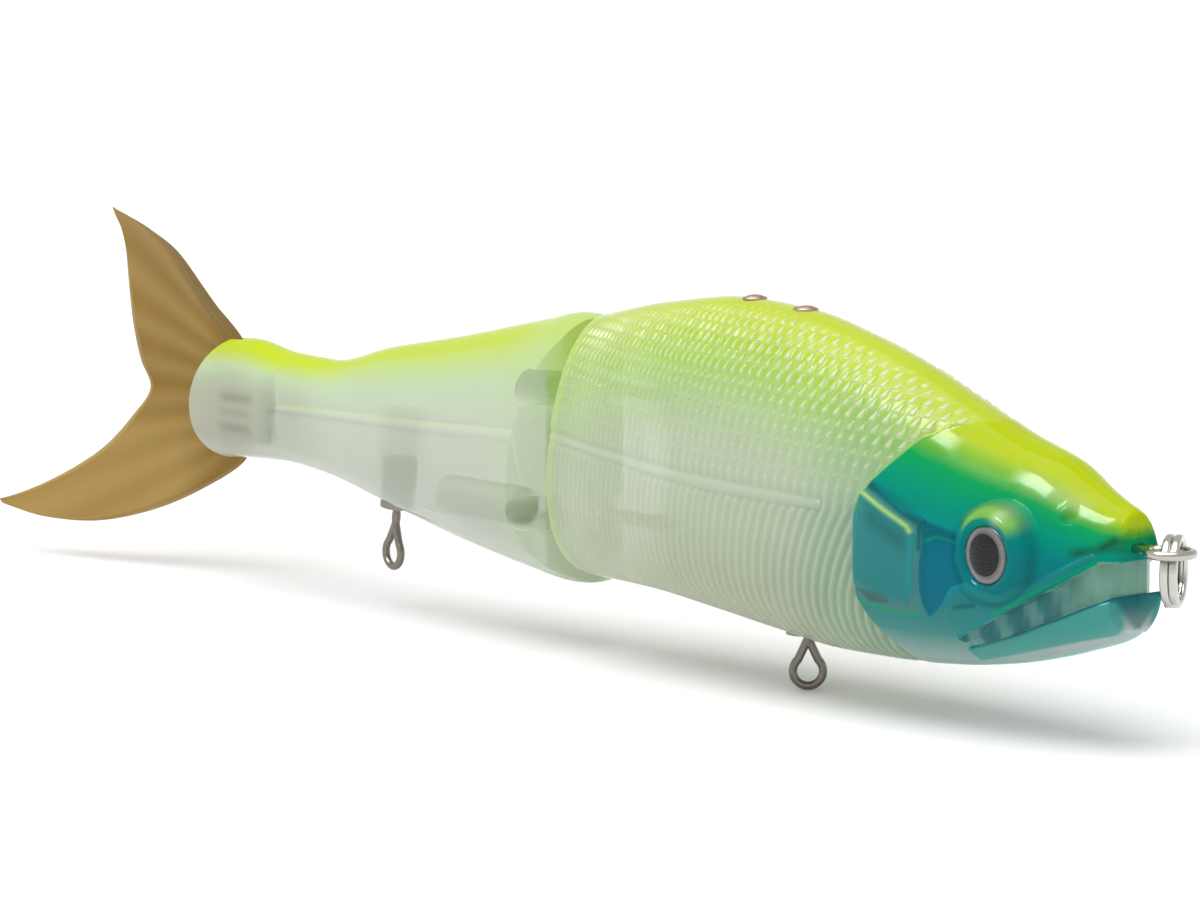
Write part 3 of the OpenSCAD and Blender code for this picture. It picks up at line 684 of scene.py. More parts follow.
def hanger(stem_top):
    """A teardrop eye bent from one wire, its ends drawn together into a stem with a formed head."""
    r, neck = 1.7, 3.8
    loop = [(r * math.cos(t), 0, r * math.sin(t))
            for t in np.linspace(math.pi / 2 + 0.72, 2.5 * math.pi - 0.72, 57)]
    path = [(0.10, 0, neck + 1.2), (0.16, 0, neck + 0.4), (-0.20, 0, neck - 0.5)] + loop + [
        (0.20, 0, neck - 0.5), (-0.16, 0, neck + 0.4), (-0.10, 0, neck + 1.2)]
    wire = sweep(smooth_path(path, 0.15, 3), circle(0.485, 24), (0, 1, 0))
    stem = lathe([
        (0, 2.75), (0.42, 2.8), (0.56, 3.3), (0.50, 3.9), (0.50, stem_top), (1.1, stem_top + 0.02),
        (1.25, stem_top + 0.2), (1.25, stem_top + 0.75), (1.0, stem_top + 0.98), (0, stem_top + 1.0)], 40)
    return csg(wire, [("UNION", stem)])


def at_rear_hanger(me):
    return turned(me, rot_y=REAR_HANGER_TILT, move=(REAR_HANGER_X, 0, REAR_HANGER_Z))


# ---- shells
def eye_socket(p):
    """Raises the round socket out of the cheek and sinks the eye's seat into it."""
    crest_y, crest_r, outer_r, blend = 9.30, 3.9, 6.6, 0.35
    r = np.hypot(p[..., 0] - EYE[0], (p[..., 2] - EYE[1]))
    y = p[..., 1]
    crest = np.where(r > crest_r, crest_y - 2.3 * np.clip((r - crest_r) / 1.7, 0, 3) ** 2.2,
                     crest_y - 0.10 * np.abs(r - crest_r) ** 2)
    hh = np.clip(0.5 + 0.5 * (crest - y) / blend, 0, 1)
    top = y * (1 - hh) + crest * hh + blend * hh * (1 - hh)
    y2 = np.where(r < outer_r, np.maximum(top, y), y)
    for level, share in ((y, smooth(5.9, outer_r, r)), (9.02, smooth(3.62, 3.30, r)),
                         (8.58, smooth(3.20, 3.08, r))):
        y2 = y2 * (1 - share) + level * share
    out = p.copy()
    out[..., 1] = np.where((y > 4.5) & (r < outer_r), y2, y)
    return out


def front_half():
    """Left half of the front shell, with its cavity, skirt, mouth and the inner parts' seats."""
    xs = np.concatenate([np.arange(SKIRT_X, -40, 0.15 * FINE), np.arange(-40, -6.2, 0.14 * FINE),
                         np.linspace(-6.1, -5.2, 8)])
    cavity = cut(
        tube_body(FRONT, np.linspace(-85, -19, 67), 49, WALL),
        upright(FRONT_HANGER_X, -20, -6, 3.9),
        brick(-86, -78.9, -4.6, 4.6, 6.6, 11.4),
        brick(-86, -78.9, -4.6, 4.6, -8.2, -3.4),
        *[upright(x, z - 8, 25, 2) for _, x, z in STUDS],
        brick(-78.5, -60.5, -4.4, 4.4, -20, -10.2))
    x = np.linspace(-32, -4.85, 260)
    bars = np.tanh(3 * np.cos(2 * np.pi * x / MOUTH_BAR_PITCH))
    wall = 0.88 * curve(FRONT, x, 3) - 0.80 + 0.10 * bars
    wall = wall * (1 - 0.35 * smooth(-6.2, -4.85, x) ** 2)
    tongue = np.concatenate([np.stack([x, wall], 1), np.stack([x[::-1], -wall[::-1]], 1)])
    mouth = cut(prism_y(rounded(MOUTH, 0.5), 13), prism_z(tongue, -15, 1))
    skirt = turned(tube_body(FRONT, np.linspace(-91.5, -87.6, 9), 97, 1.2), move=(-0.3, 0, 0))
    cutters = [
        cavity, skirt, tie_wire(0.53), *[hinge_wire(0.63, z) for _, z in HINGE_EYES],
        upright(FRONT_HANGER_X, -20, -9.57, 2.53),
        lengthwise(-77.03, -61.97, FRONT_BALLAST_Z, 3.23),
        mouth]
    for _, x, z in STUDS:
        cutters += [upright(x, z - 6.03, 25, 0.63), upright(x, z - 0.03, 25, 1.43)]
    return cut(grid_half(ARC_F, xs, int(330 / FINE), front_fields), *cutters)


def rear_half():
    """Left half of the rear shell, with its wedge, slots, cavity and the inner parts' seats."""
    xs = np.concatenate([np.arange(-169, -104, 0.4 * FINE), np.arange(-104, -89.5, 0.25 * FINE), [-89.5]])
    bevel, nose = math.radians(38), 2.2
    tx, ty = nose * math.sin(bevel), nose * math.cos(bevel)
    reach = math.pi / 2 - bevel
    arc = [(nose * math.cos(t), nose * math.sin(t)) for t in np.linspace(-reach, reach, 25)]
    fx, fy = tx - 30 * math.cos(bevel), ty + 30 * math.sin(bevel)
    plan = np.array(arc + [(fx, fy), (-90, fy), (-90, -fy), (fx, -fy)]) + [HINGE_X, 0]
    end = csg(brick(-159.5, 0, -20, 20, -30, 30), [("UNION", crossways(-159.5, 20, TAIL_MID_Z, 8.9, 160))])
    cavity = cut(
        tube_body(REAR, np.linspace(-151, -103, 49), 49, WALL),
        at_rear_hanger(upright(0, -3, 12, 2.9)),
        brick(-122.5, -105.5, -3.4, 3.4, -20, -7.6))
    cutters = [cavity]
    for _, z in HINGE_EYES:
        cutters += [brick(-98, -85, -12, 12, z - SLOT_HALF, z + SLOT_HALF), crossways(-98, 12, z, SLOT_HALF)]
    for side in (-1, 1):
        for z0, z1 in ((12.8, 23), (-21, -10.3)):
            cutters.append(turned(brick(0.3, 20, -20, 20, z0, z1), rot_z=side * SWING, move=(HINGE_X, 0, 0)))
    pocket = cut(brick(-162.8, -157.3, -0.95, 0.95, -4.3, 6.1), crossways(TAIL_ROOT_X, 5, TAIL_MID_Z, 1.2))
    cutters += [
        upright(HINGE_X, -10.43, 13.13, 0.78, 32),
        at_rear_hanger(upright(0, -5, 6.03, 2.13)),
        lengthwise(-121.03, -106.97, REAR_BALLAST_Z, 2.33),
        brick(-175, -161.8, -0.95, 0.95, -20, 20),
        pocket]
    return csg(grid_half(ARC_R, xs, int(200 / FINE), rear_fields),
               [("INTERSECT", prism_z(plan, -30, 30)), ("INTERSECT", end)] + differences(*cutters))


def paint_masks(me, arc, fields):
    """Stores the paint masks, and returns each face's material: 0 paint, 1 bare inside, 2 mouth or wedge."""
    x, y, z = coords(me).T
    store(me, "x_mm", x)
    x, y = arc.within(x), np.abs(y)
    s, _ = arc.of_point(x, y, z)
    if fields is front_fields:
        s = np.where(x > -5.15, arc.level(x, z), s)
    for key, value in fields(x, y, z, s).items():
        if key != "relief":
            store(me, key, value)
    x, y, z = (vectors(me.polygons, "center") / MM).T
    y = np.abs(y)
    _, ny, nz = np.abs(vectors(me.polygons, "normal")).T
    _, depth = arc.of_point(arc.within(x), y, z)
    inner = (depth > 0.62) | ((y < 0.02) & (ny > 0.9))
    if fields is front_fields:
        r = np.hypot(x - EYE[0], z - EYE[1])
        inner &= ~(((r < 6.2) & (y > 6)) | (x > -5.3))
        off = signed_distance(MOUTH, x, z)
        third = (off < 0.03) & (y > 1.2) & (x > -25) & (depth > 0.05) & (depth < 4.5)
        third |= (x > -6.4) & (z < -1.2) & (z > -4.7) & (off < 0.3)
    else:
        bevel = (ny > 0.35) | ((x > -94.3) & (nz < 0.4))
        third = inner & bevel & (x > -102.9)
    return np.where(third, 2, inner.astype(int)).astype(np.int32)


# ---- material helpers
def srgb(*colour):
    """Linear colour from red, green and blue between 0 and 255."""
    part = [c / 255 for c in colour]
    return tuple(v / 12.92 if v <= 0.04045 else ((v + 0.055) / 1.055) ** 2.4 for v in part)


def operator(op):
    """A Value's method for one arithmetic operation."""
    return lambda self, b: self.math(op, self, b)


class Value:
    """A number made by nodes, which can be used in plain sums."""

    def __init__(self, nodes, socket):
        self.nodes, self.socket = nodes, socket

    def math(self, op, a, b):
        node = self.nodes.add("Math", a, b)
        node.operation = op
        return Value(self.nodes, node.outputs[0])

    __add__, __sub__, __mul__ = map(operator, ("ADD", "SUBTRACT", "MULTIPLY"))
    __truediv__, __pow__ = map(operator, ("DIVIDE", "POWER"))
    __radd__, __rmul__ = __add__, __mul__

    def __rsub__(self, a):
        return self.math("SUBTRACT", a, self)

    def clamped(self):
        self.socket.node.use_clamp = True
        return self


class Nodes:
    """A material while it is put together."""

    def __init__(self, name):
        self.mat = bpy.data.materials.new(name)
        self.mat.use_nodes = True
        self.tree = self.mat.node_tree
        self.tree.nodes.clear()

    def put(self, socket, value):
        """Fills an input with a number, a colour, a Value, a socket or a node's first output."""
        if isinstance(value, Value):
            value = value.socket
        elif isinstance(value, bpy.types.Node):
            value = value.outputs[0]
        if isinstance(value, bpy.types.NodeSocket):
            self.tree.links.new(value, socket)
        elif socket.type == "RGBA" and len(value) == 3:
            socket.default_value = (*value, 1)
        else:
            socket.default_value = value

    def add(self, kind, *numbered, **named):
        """A node with its inputs filled, in their order or by name with _ for a space."""
        node = self.tree.nodes.new("ShaderNode" + kind)
        for i, value in enumerate(numbered):
            self.put(node.inputs[i], value)
        for key, value in named.items():
            self.put(node.inputs[key.replace("_", " ")], value)
        return node

    def attr(self, name):
        node = self.add("Attribute")
        node.attribute_name = name
        return Value(self, node.outputs["Fac"])

    def place(self):
        return self.add("TexCoord").outputs["Object"]

    def noise(self, scale, detail, rough, stretch=None):
        at = self.place()
        if stretch:
            at = self.add("Mapping", Scale=stretch, Vector=at)
        node = self.add("TexNoise", Scale=scale, Detail=detail, Roughness=rough, Vector=at)
        return Value(self, node.outputs["Fac"])

    def ramp(self, fac, *stops):
        """A colour ramp; each stop is its place, red, green and blue."""
        node = self.add("ValToRGB", fac)
        elements = node.color_ramp.elements
        elements.remove(elements[-1])
        for i, (at, *colour) in enumerate(stops):
            e = elements.new(at) if i else elements[0]
            e.position = at
            e.color = (*srgb(*colour), 1)
        return node

    def step(self, fac, lo, hi, out_lo=0.0, out_hi=1.0):
        """A smooth change from one value to the other while fac goes from lo to hi."""
        node = self.add("MapRange", fac, lo, hi, out_lo, out_hi)
        node.interpolation_type = "SMOOTHSTEP"
        return Value(self, node.outputs[0])

    def mix(self, fac, a, b):
        node = self.add("Mix")
        node.data_type = "RGBA"
        for i, value in ((0, fac), (6, a), (7, b)):
            self.put(node.inputs[i], value)
        return node.outputs[2]

    def painted(self, colour, *layers):
        """Lays paint over a colour; each layer is a mask or its name, its strength and its colour."""
        for mask, strength, paint in layers:
            if isinstance(mask, str):
                mask = self.attr(mask)
            colour = self.mix(mask * strength, colour, srgb(*paint))
        return colour

    def bump(self, height, strength, distance):
        return self.add("Bump", Height=height, Strength=strength, Distance=distance)

    def fresnel(self, base, **normal):
        facing = Value(self, self.add("LayerWeight", Blend=0.5, **normal).outputs["Facing"])
        return (facing ** 5.0 * (1 - base) + base).clamped()

    def finish(self, shader):
        self.put(self.add("OutputMaterial").inputs["Surface"], shader)
        return self.mat

    def lacquer(self, colour, opacity, normal, rough, through=0.35, tint=(1, 1, 1), gloss=1.0):
        """Translucent plastic: some of the view comes through, the rest scatters, under a gloss coat."""
        body = self.add(
            "MixShader", through, self.add("BsdfDiffuse", Color=colour, Normal=normal),
            self.add("BsdfTranslucent", Color=colour, Normal=normal))
        under = self.add("MixShader", opacity, self.add("BsdfTransparent"), body)
        coat = self.add("BsdfGlossy", Color=tint, Roughness=rough, Normal=normal)
        return self.finish(self.add("MixShader", self.fresnel(0.015, Normal=normal) * gloss, under, coat))


# ---- materials
def paint_front():
    n = Nodes("front_paint")
    x, ridge, share, at_head, matt = [n.attr(k) for k in ("x_mm", "ridge_mm", "share", "head", "matt")]
    speck = n.noise(2600, 2.0, 0.6)
    jitter = (speck - 0.5) * 2.6 + (n.noise(140, 3.0, 0.6) - 0.5) * 1.5
    body = n.painted(
        n.ramp(
            (ridge + jitter) / 50.0,
            (0.0, 206, 222, 40), (0.085, 204, 222, 34), (0.15, 182, 216, 58), (0.22, 174, 214, 104),
            (0.30, 186, 212, 158), (0.40, 196, 208, 184), (0.60, 196, 206, 184), (0.82, 190, 196, 172),
            (1.0, 206, 208, 190)),
        (n.step(x, -70, -92), 0.28, (206, 216, 186)),
        (n.step(x, -50, -38) * n.step(ridge, 5, 10), 0.35, (110, 176, 140)),
        # painted highlight: the raised scale teeth and ribs are painted paler where they would catch the
        # light
        (n.attr("tooth") * 0.66 + n.attr("rib") * 0.16, 1.0, (236, 242, 206)),
        # groove: painted shade in the rib valleys near the gill
        # lateral: paler paint on the lateral line, partly a painted highlight
        # rim: a painted glow along the skirt's rim
        ("groove", 0.62, (112, 148, 134)), ("lateral", 0.30, (222, 228, 214)), ("rim", 0.55, (210, 238, 128)))
    head = n.painted(
        n.ramp(
            share + jitter * 0.010,
            (0.0, 202, 218, 4), (0.13, 196, 216, 8), (0.19, 128, 196, 56), (0.25, 20, 174, 96),
            (0.34, 0, 160, 132), (0.46, 0, 134, 140), (0.60, 20, 128, 138), (0.74, 86, 156, 152),
            (0.86, 190, 202, 200), (1.0, 214, 218, 218)),
        # shade: a painted shadow under the gill plate
        ("frame_plate", 0.55, (96, 146, 144)), ("plate", 0.8, (6, 138, 146)), ("shade", 0.7, (74, 108, 110)),
        ("brow", 0.8, (0, 98, 120)), ("cheek", 0.9, (0, 118, 146)), ("jaw", 0.45, (56, 150, 150)),
        ("chin", 0.85, (84, 174, 166)), ("belly", 0.9, (198, 208, 208)),
        # snout_highlight: pale painted highlights on the brow and the socket's upper front
        ("socket_top", 0.9, (146, 204, 74)), ("snout_highlight", 0.35, (206, 226, 170)))
    # the edge lines in green, bright teal and pale yellow-green are painted highlights on the head's raised
    # edges and bevels
    colour = n.painted(
        # dark teal here is painted shade in the head's creases, with the dark jaw tip and seam
        n.mix(at_head, body, head), ("dark_and_crease_shade", 0.85, (0, 92, 100)), ("teal_edge_highlight", 0.7, (0, 158, 166)),
        ("seen_wire", 0.85, (30, 84, 60)), ("green_edge_highlight", 0.85, (0, 176, 112)),
        ("edge_highlight", 0.9, (186, 228, 120)))
    body_opacity = n.step(ridge, 4, 20, 1.0, 0.0) * 0.12 + 0.87 - n.step(x, -86, -90.5) * 0.22
    head_opacity = n.step(share, 0.2, 0.55, 1.0, 0.98) - n.attr("plate") * 0.08
    return n.lacquer(
        colour, (body_opacity * (1.0 - at_head) + head_opacity * at_head).clamped(),
        n.bump(n.noise(420, 3.0, 0.6) + speck * 0.25, 0.10, 0.0001), 0.24 - at_head * 0.15 + matt * 0.35,
        tint=n.mix(at_head * n.step(share, 0.16, 0.26), (1, 1, 1), (0.48, 1.0, 0.97)),
        gloss=(1.0 - at_head * 0.3 - matt * 0.45).clamped())


def paint_rear():
    n = Nodes("rear_paint")
    x, share = n.attr("x_mm"), n.attr("share")
    speck = n.noise(2600, 2.0, 0.6)
    jitter = (speck - 0.5) * 2.2 + (n.noise(120, 3.0, 0.6) - 0.5) * 1.6
    colour = n.painted(
        n.ramp(
            share + jitter * 0.012,
            (0.0, 212, 228, 110), (0.05, 204, 224, 60), (0.11, 204, 224, 66), (0.17, 206, 226, 140),
            (0.27, 206, 226, 190), (0.42, 206, 214, 196), (0.7, 202, 209, 198), (1.0, 208, 212, 206)),
        (n.step(x, -138, -152) * n.step(share, 0.26, 0.12), 0.75, (208, 226, 16)),
        # lateral: paler paint on the rear lateral line, partly a painted highlight
        (n.step(x, -108, -96), 0.45, (206, 226, 172)), ("lateral", 0.4, (236, 240, 234)),
        # painted highlight above the rear lateral line and painted shade below it
        ("line_highlight", 0.5, (214, 236, 160)), ("line_shade", 0.32, (160, 172, 150)),
        ("seen_bars", 0.42, (140, 128, 104)))
    opacity = (n.step(share, 0.12, 0.42, 0.96, 0.62) + n.step(x, -150, -156) * 0.16).clamped()
    return n.lacquer(colour, opacity, n.bump(n.noise(380, 3.0, 0.6) + speck * 0.2, 0.10, 0.0001), 0.10)


def mouth_paint():
    """The recessed mouth: tinted clear resin with slanted bars cast behind it."""
    n = Nodes("mouth_paint")
    cloud = n.noise(420, 3.0, 0.6)
    colour = n.painted(
        n.ramp(n.attr("bars") * 0.55 + cloud * 0.45,
               (0.0, 40, 116, 122), (0.42, 64, 140, 146), (0.68, 104, 166, 166), (1.0, 140, 190, 182)),
        (n.step(n.attr("x_mm"), -14, -7), 0.65, (156, 204, 176)))
    return n.lacquer(colour, cloud * 0.1 + 0.80, n.bump(cloud + n.noise(900, 2.0, 0.5), 0.12, 0.0001), 0.10)


def mould_texture(n):
    return n.bump(n.noise(700, 2.0, 0.5), 0.08, 0.0001)


def bare_plastic(name, fore):
    """The unpainted inner faces of the shells: clear resin, a little milky, tinted at the head."""
    n = Nodes(name)
    x, tint = n.attr("x_mm"), n.noise(90, 3.0, 0.6)
    pale = n.mix(tint, srgb(176, 190, 166), srgb(198, 208, 186))
    if fore:
        head = n.step(x, -40, -36)
        pale = n.mix(head, pale, n.mix(tint, srgb(60, 150, 148), srgb(110, 176, 168)))
        opacity = head * 0.28 + 0.10
    else:
        # the rear slots' faces are painted near white and made more opaque, painted light that lifts the
        # shade inside the slots
        slots = n.step(x, -102, -98)
        pale = n.mix(slots, pale, srgb(236, 250, 222))
        opacity = slots * 0.58 + (tint * 0.06 + 0.12)
    return n.lacquer(pale, opacity, mould_texture(n), 0.12, 0.5, gloss=0.8)


def wedge_plastic():
    """The rear section's bevelled front faces: milky resin that takes up some of the paint at the top,
    painted brighter there as painted light against the skirt's shadow.
    """
    n = Nodes("wedge_plastic")
    tint = n.noise(150, 3.0, 0.6)
    height = Value(n, n.add("SeparateXYZ", n.place()).outputs[2])
    # pale grey below, rising to chartreuse at the top, pushed brighter there as painted light where the skirt
    # shades it
    colour = n.ramp(
        n.step(height + tint * 0.003, -0.012, 0.018),
        (0.0, 200, 208, 194), (0.25, 206, 214, 202), (0.42, 208, 214, 202), (0.62, 210, 222, 196),
        (0.78, 222, 248, 168), (1.0, 236, 255, 146))
    return n.lacquer(colour, tint * 0.08 + 0.82, mould_texture(n), 0.12, 0.4)


def metal(name, colour, rough, spread, scale, bump, stretch=None):
    """A plain metal; its roughness varies by spread, in a grain of the given scale."""
    n = Nodes(name)
    grain = n.noise(scale, 4.0, 0.6, stretch)
    colour = srgb(*colour)
    return n.finish(n.add(
        "BsdfPrincipled", Metallic=1.0, Roughness=grain * spread + (rough - spread / 2),
        Base_Color=n.mix(n.noise(160, 3.0, 0.6), tuple(c * 0.86 for c in colour), colour),
        Normal=n.bump(grain, bump, 0.00005)))


def eye_print():
    n = Nodes("eye_print")
    grain, streak = n.noise(1500, 3.0, 0.6), n.noise(520, 3.0, 0.7, (1, 0.3, 1))
    r = n.attr("eye_r") + (grain - 0.5) * 0.02
    rings = n.ramp(
        r, (0.0, 9, 9, 10), (0.68, 14, 12, 13), (0.715, 8, 7, 8), (0.74, 86, 74, 66), (0.83, 108, 98, 92),
        (0.90, 142, 138, 138), (0.95, 100, 98, 106), (0.978, 10, 44, 48))
    worn = n.mix(streak, srgb(112, 96, 90), srgb(150, 152, 158))
    return n.finish(n.add(
        "BsdfPrincipled", Roughness=0.34, Base_Color=n.mix(n.step(r, 0.73, 0.78) * 0.35, rings, worn),
        Specular_IOR_Level=0.1, Metallic=n.step(n.attr("eye_r"), 0.73, 0.77, 0.0, 0.45),
        Normal=n.bump(grain, 0.1, 0.00003)))


def eye_clear(name, gloss):
    n = Nodes(name)
    normal = n.bump(n.noise(300, 2.0, 0.5), 0.02, 0.00003)
    coat = n.add("BsdfGlossy", Color=(1, 1, 1), Roughness=0.03, Normal=normal)
    clear = n.add("BsdfTransparent", Color=(0.97, 0.985, 0.985))
    return n.finish(n.add("MixShader", n.fresnel(0.02) * gloss, clear, coat))


def soft_plastic():
    """The tail's ochre plastic, paler at its trailing edge; its raised rays carry a painted highlight and its
    lower lobe is painted lighter as painted light.
    """
    n = Nodes("soft_tail")
    grain, cloud = n.noise(1800, 3.0, 0.6), n.noise(70, 4.0, 0.6)
    colour = n.painted(
        n.mix(cloud, srgb(138, 106, 36), srgb(158, 126, 52)),
        # painted highlight on the raised rays and painted light on the lower lobe
        ("ray", 0.30, (190, 160, 98)), ("lower_lobe_light", 0.4, (196, 166, 104)), ("root_dark", 1.0, (112, 96, 66)),
        ("rim", 0.6, (190, 164, 106)), (grain - 0.5, 0.16, (90, 70, 30)))
    solid = n.add(
        "BsdfPrincipled", Roughness=0.46, Base_Color=colour, Specular_IOR_Level=0.18, Coat_Weight=0.04,
        Coat_Roughness=0.3, Normal=n.bump(grain + cloud * 0.5, 0.10, 0.00008))
    return n.finish(n.add("MixShader", 0.22, solid, n.add("BsdfTranslucent", Color=colour)))


# ---- soft tail: the blade's root edge and trailing edge, as x and height over its middle
STARTS = np.array([
    [-205.2, -18.8], [-198, -19.2], [-188.8, -18.3], [-179, -15.4], [-170, -11.4], [-163.2, -7.7],
    [-162, -4], [-162, 0], [-162, 4], [-163.4, 7.4], [-170, 11.8], [-180, 17.2], [-190, 20],
    [-199, 21.9], [-203.3, 22.8]])
ENDS = np.array([
    [-206, -18.3], [-205, -17.9], [-202.5, -16.7], [-198.5, -14.5], [-194, -11.7], [-189.6, -8.5],
    [-185.4, -4.2], [-182.5, -0.3], [-185.5, 3.1], [-188.4, 7], [-191.5, 11.8], [-194.8, 16.5],
    [-198, 19.5], [-201.5, 21.6], [-204, 23]])
LAST = len(STARTS) - 1
BEND_X, TIP_X, TWIST = -168.6, -204, math.radians(24)   # the blade twists from BEND_X to its tips


def spline(points, n):
    """Smooth curve through points, at n even steps of their numbering."""
    p = np.concatenate([[2 * points[0] - points[1]], points, [2 * points[-1] - points[-2]]])
    t = np.linspace(0, LAST, n)
    i = np.minimum(t.astype(int), LAST - 1)
    u = (t - i)[:, None]
    a, b, c, d = p[i], p[i + 1], p[i + 2], p[i + 3]
    return 0.5 * (2 * b + (c - a) * u + (2 * a - 5 * b + 4 * c - d) * u * u
                  + (3 * b - a - 3 * c + d) * u ** 3)


def tail_blade():
    """The forked blade, twisted towards its tips, with soft rays and a thin trailing edge."""
    n, m = int(300 / FINE), int(110 / FINE)
    w = np.linspace(0, 1, m)[None, :, None]
    p = spline(STARTS, n)[:, None] * (1 - w) + spline(ENDS, n)[:, None] * w
    along = np.linspace(0, LAST, n)[:, None] * np.ones((1, m))
    w = w[..., 0] * np.ones((n, 1))
    x, up = p[..., 0], p[..., 1]
    share = np.maximum(0, (BEND_X - x) / (BEND_X - TIP_X))
    half = (1.8 + (0.8 - 1.8) * np.minimum(1, share)) / 2
    # rays that fan out from the root and fade at the root and the edges
    reach = np.hypot(x + 158, up)
    rays = 0.5 + 0.5 * np.cos(np.arctan2(up, -(x + 150)) * 46 + 0.10 * reach)
    fade = smooth(2, 12, reach - 4) * smooth(0.0, 0.10, w) * smooth(1.0, 0.90, w)
    trail, lead = smooth(0.93, 1.0, w), smooth(0.06, 0.0, w)
    tip = np.minimum(along, LAST - along)
    half = half * (1 - 0.62 * trail ** 1.3) * (1 - 0.35 * lead ** 2) * (0.55 + 0.45 * smooth(0, 0.8, tip))
    half = np.maximum(half - 0.17 * (1 - rays) * fade * smooth(0.15, 0.4, half), 0.12)
    sin, cos = np.sin(TWIST * share), np.cos(TWIST * share)
    verts = [np.stack([x, up * sin + side * half * cos, TAIL_MID_Z + up * cos - side * half * sin], axis=-1)
             for side in (-1, 1)]
    k = n * m
    idx = np.arange(k).reshape(n, m)
    q = quads(idx)
    loop = np.concatenate([idx[0, :-1], idx[:-1, -1], idx[-1, :0:-1], idx[:0:-1, 0]])
    nxt = np.roll(loop, -1)
    rim = np.stack([nxt, loop, loop + k, nxt + k], axis=-1)
    me = new_mesh(np.reshape(verts, (-1, 3)), q.tolist() + (q[:, ::-1] + k).tolist() + rim.tolist())
    # the ray and lower lobe masks carry painted light; the rim is the paler trailing edge
    for key, mask in (
            ("ray", rays * fade), ("rim", trail * smooth(0, 1, tip)),
            ("root_dark", smooth(0.16, 0.0, w) * smooth(8.0, 9.6, along) * smooth(-196, -172, x) * 0.55),
            ("lower_lobe_light", smooth(1, -9, up) * smooth(-168, -176, x))):
        store(me, key, np.tile(mask.ravel(), 2))
    return me


def tail_tang():
    """The tail's root, with a hole for its pin and grooves on both sides."""
    grooves = [brick(-162.9, -156, side * 0.75 - 0.45, side * 0.75 + 0.45, z0, z1)
               for side in (-1, 1) for z0, z1 in ((-5, -2.6), (-1.2, -0.45), (2.25, 3.0), (4.6, 7))]
    hole = crossways(TAIL_ROOT_X, 5, TAIL_MID_Z, 1.23, 48)
    return cut(brick(-163.3, -157.4, -0.9, 0.9, -4.2, 6), hole, *grooves)


# ---- the pieces
nickel = metal("plated_wire", (196, 192, 184), 0.16, 0.06, 1400, 0.04)
ring_steel = metal("ring_steel", (206, 204, 198), 0.12, 0.05, 1600, 0.04)
dull_wire = metal("hanger_wire", (134, 128, 120), 0.34, 0.12, 1500, 0.12)
bush_metal = metal("bush_metal", (150, 144, 132), 0.42, 0.12, 1200, 0.10)
pin_steel = metal("pin_steel", (168, 168, 166), 0.28, 0.10, 1500, 0.08, (1, 1, 0.1))
lead = metal("ballast_metal", (206, 208, 202), 0.60, 0.15, 700, 0.25)
stud_metal = metal("stud_metal", (172, 148, 130), 0.42, 0.14, 1500, 0.12)
printed, soft_tail = eye_print(), soft_plastic()
lens = [eye_clear("eye_clear", 1.0), eye_clear("eye_clear_back", 0.0)]

for where, build, arc, fields, materials in (
        ("front", front_half, ARC_F, front_fields,
         [paint_front(), bare_plastic("front_bare", True), mouth_paint()]),
        ("rear", rear_half, ARC_R, rear_fields,
         [paint_rear(), bare_plastic("rear_bare", False), wedge_plastic()])):
    left = build()
    numbers = paint_masks(left, arc, fields)
    for side, me in (("left", left), ("right", mirrored(left))):
        node = f"{where}_shell_{side}"
        piece(node + "_skin", me, where + "_body", where + "_paint", materials, [node])
        me.polygons.foreach_set("material_index", numbers)

# eyes: a printed disc and a clear dome in each socket
for side, sign in (("left", 1), ("right", -1)):
    seat = (Matrix.Translation(Vector((EYE[0], sign * EYE_SEAT, EYE[1])) * MM)
            @ Matrix.Rotation(-sign * math.pi / 2, 4, "X"))
    disc = lathe([(0, 0), (2.95, 0), (3.10, 0.06), (EYE_R, 0.30), (3.02, 0.38), (2.30, 0.36), (2.05, 0.31),
                  (1.0, 0.29), (0, 0.29)], 96)
    x, y, _ = coords(disc).T
    off_centre = 0.30 * smooth(3.02, 2.4, np.hypot(x, y))
    store(disc, "eye_r", np.hypot(x + off_centre, y) / EYE_R)
    disc.transform(seat)
    piece(f"eye_disc_{side}_print", disc, "front_body", "eye_print", [printed], [f"eye_disc_{side}"])
    rise = 0.7
    ball = (EYE_R ** 2 + rise ** 2) / (2 * rise)
    top = [(ball * math.sin(t), 1.1 - ball + ball * math.cos(t))
           for t in np.linspace(0, math.asin(3.06 / ball), 22)]
    dome = lathe(top + [(3.11, 0.46), (3.11, 0.42), (3.0, 0.40), (0, 0.40)], 96)
    under = [int(f.center.z < 0.43 * MM) for f in dome.polygons]
    dome.transform(seat)
    piece(f"eye_dome_{side}_lens", dome, "front_body", "eye_clear", lens, [f"eye_dome_{side}"])
    dome.polygons.foreach_set("material_index", under)

piece("line_tie_wire", tie_wire(0.5), "front_body", "plated_wire", [nickel], ["line_tie"], 0)
for which, z in HINGE_EYES:
    piece(f"hinge_eye_{which}_wire", hinge_wire(0.6, z), "front_body", "plated_wire", [nickel],
          [f"hinge_eye_{which}"], 0)
piece("split_ring_coil", split_ring(), "ring_body", "ring_steel", [ring_steel], ["split_ring"], 0)

for where, me in (
        ("front", turned(hanger(FRONT_STEM), rot_z=math.radians(50), move=(FRONT_HANGER_X, 0, FRONT_EYE_Z))),
        ("rear", at_rear_hanger(turned(hanger(REAR_STEM), rot_z=math.radians(-6), move=(0, 0, -REAR_DROP))))):
    piece(where + "_hanger_eye", me, where + "_hanger_body", "hanger_wire", [dull_wire],
          [where + "_hook_hanger"], 50)

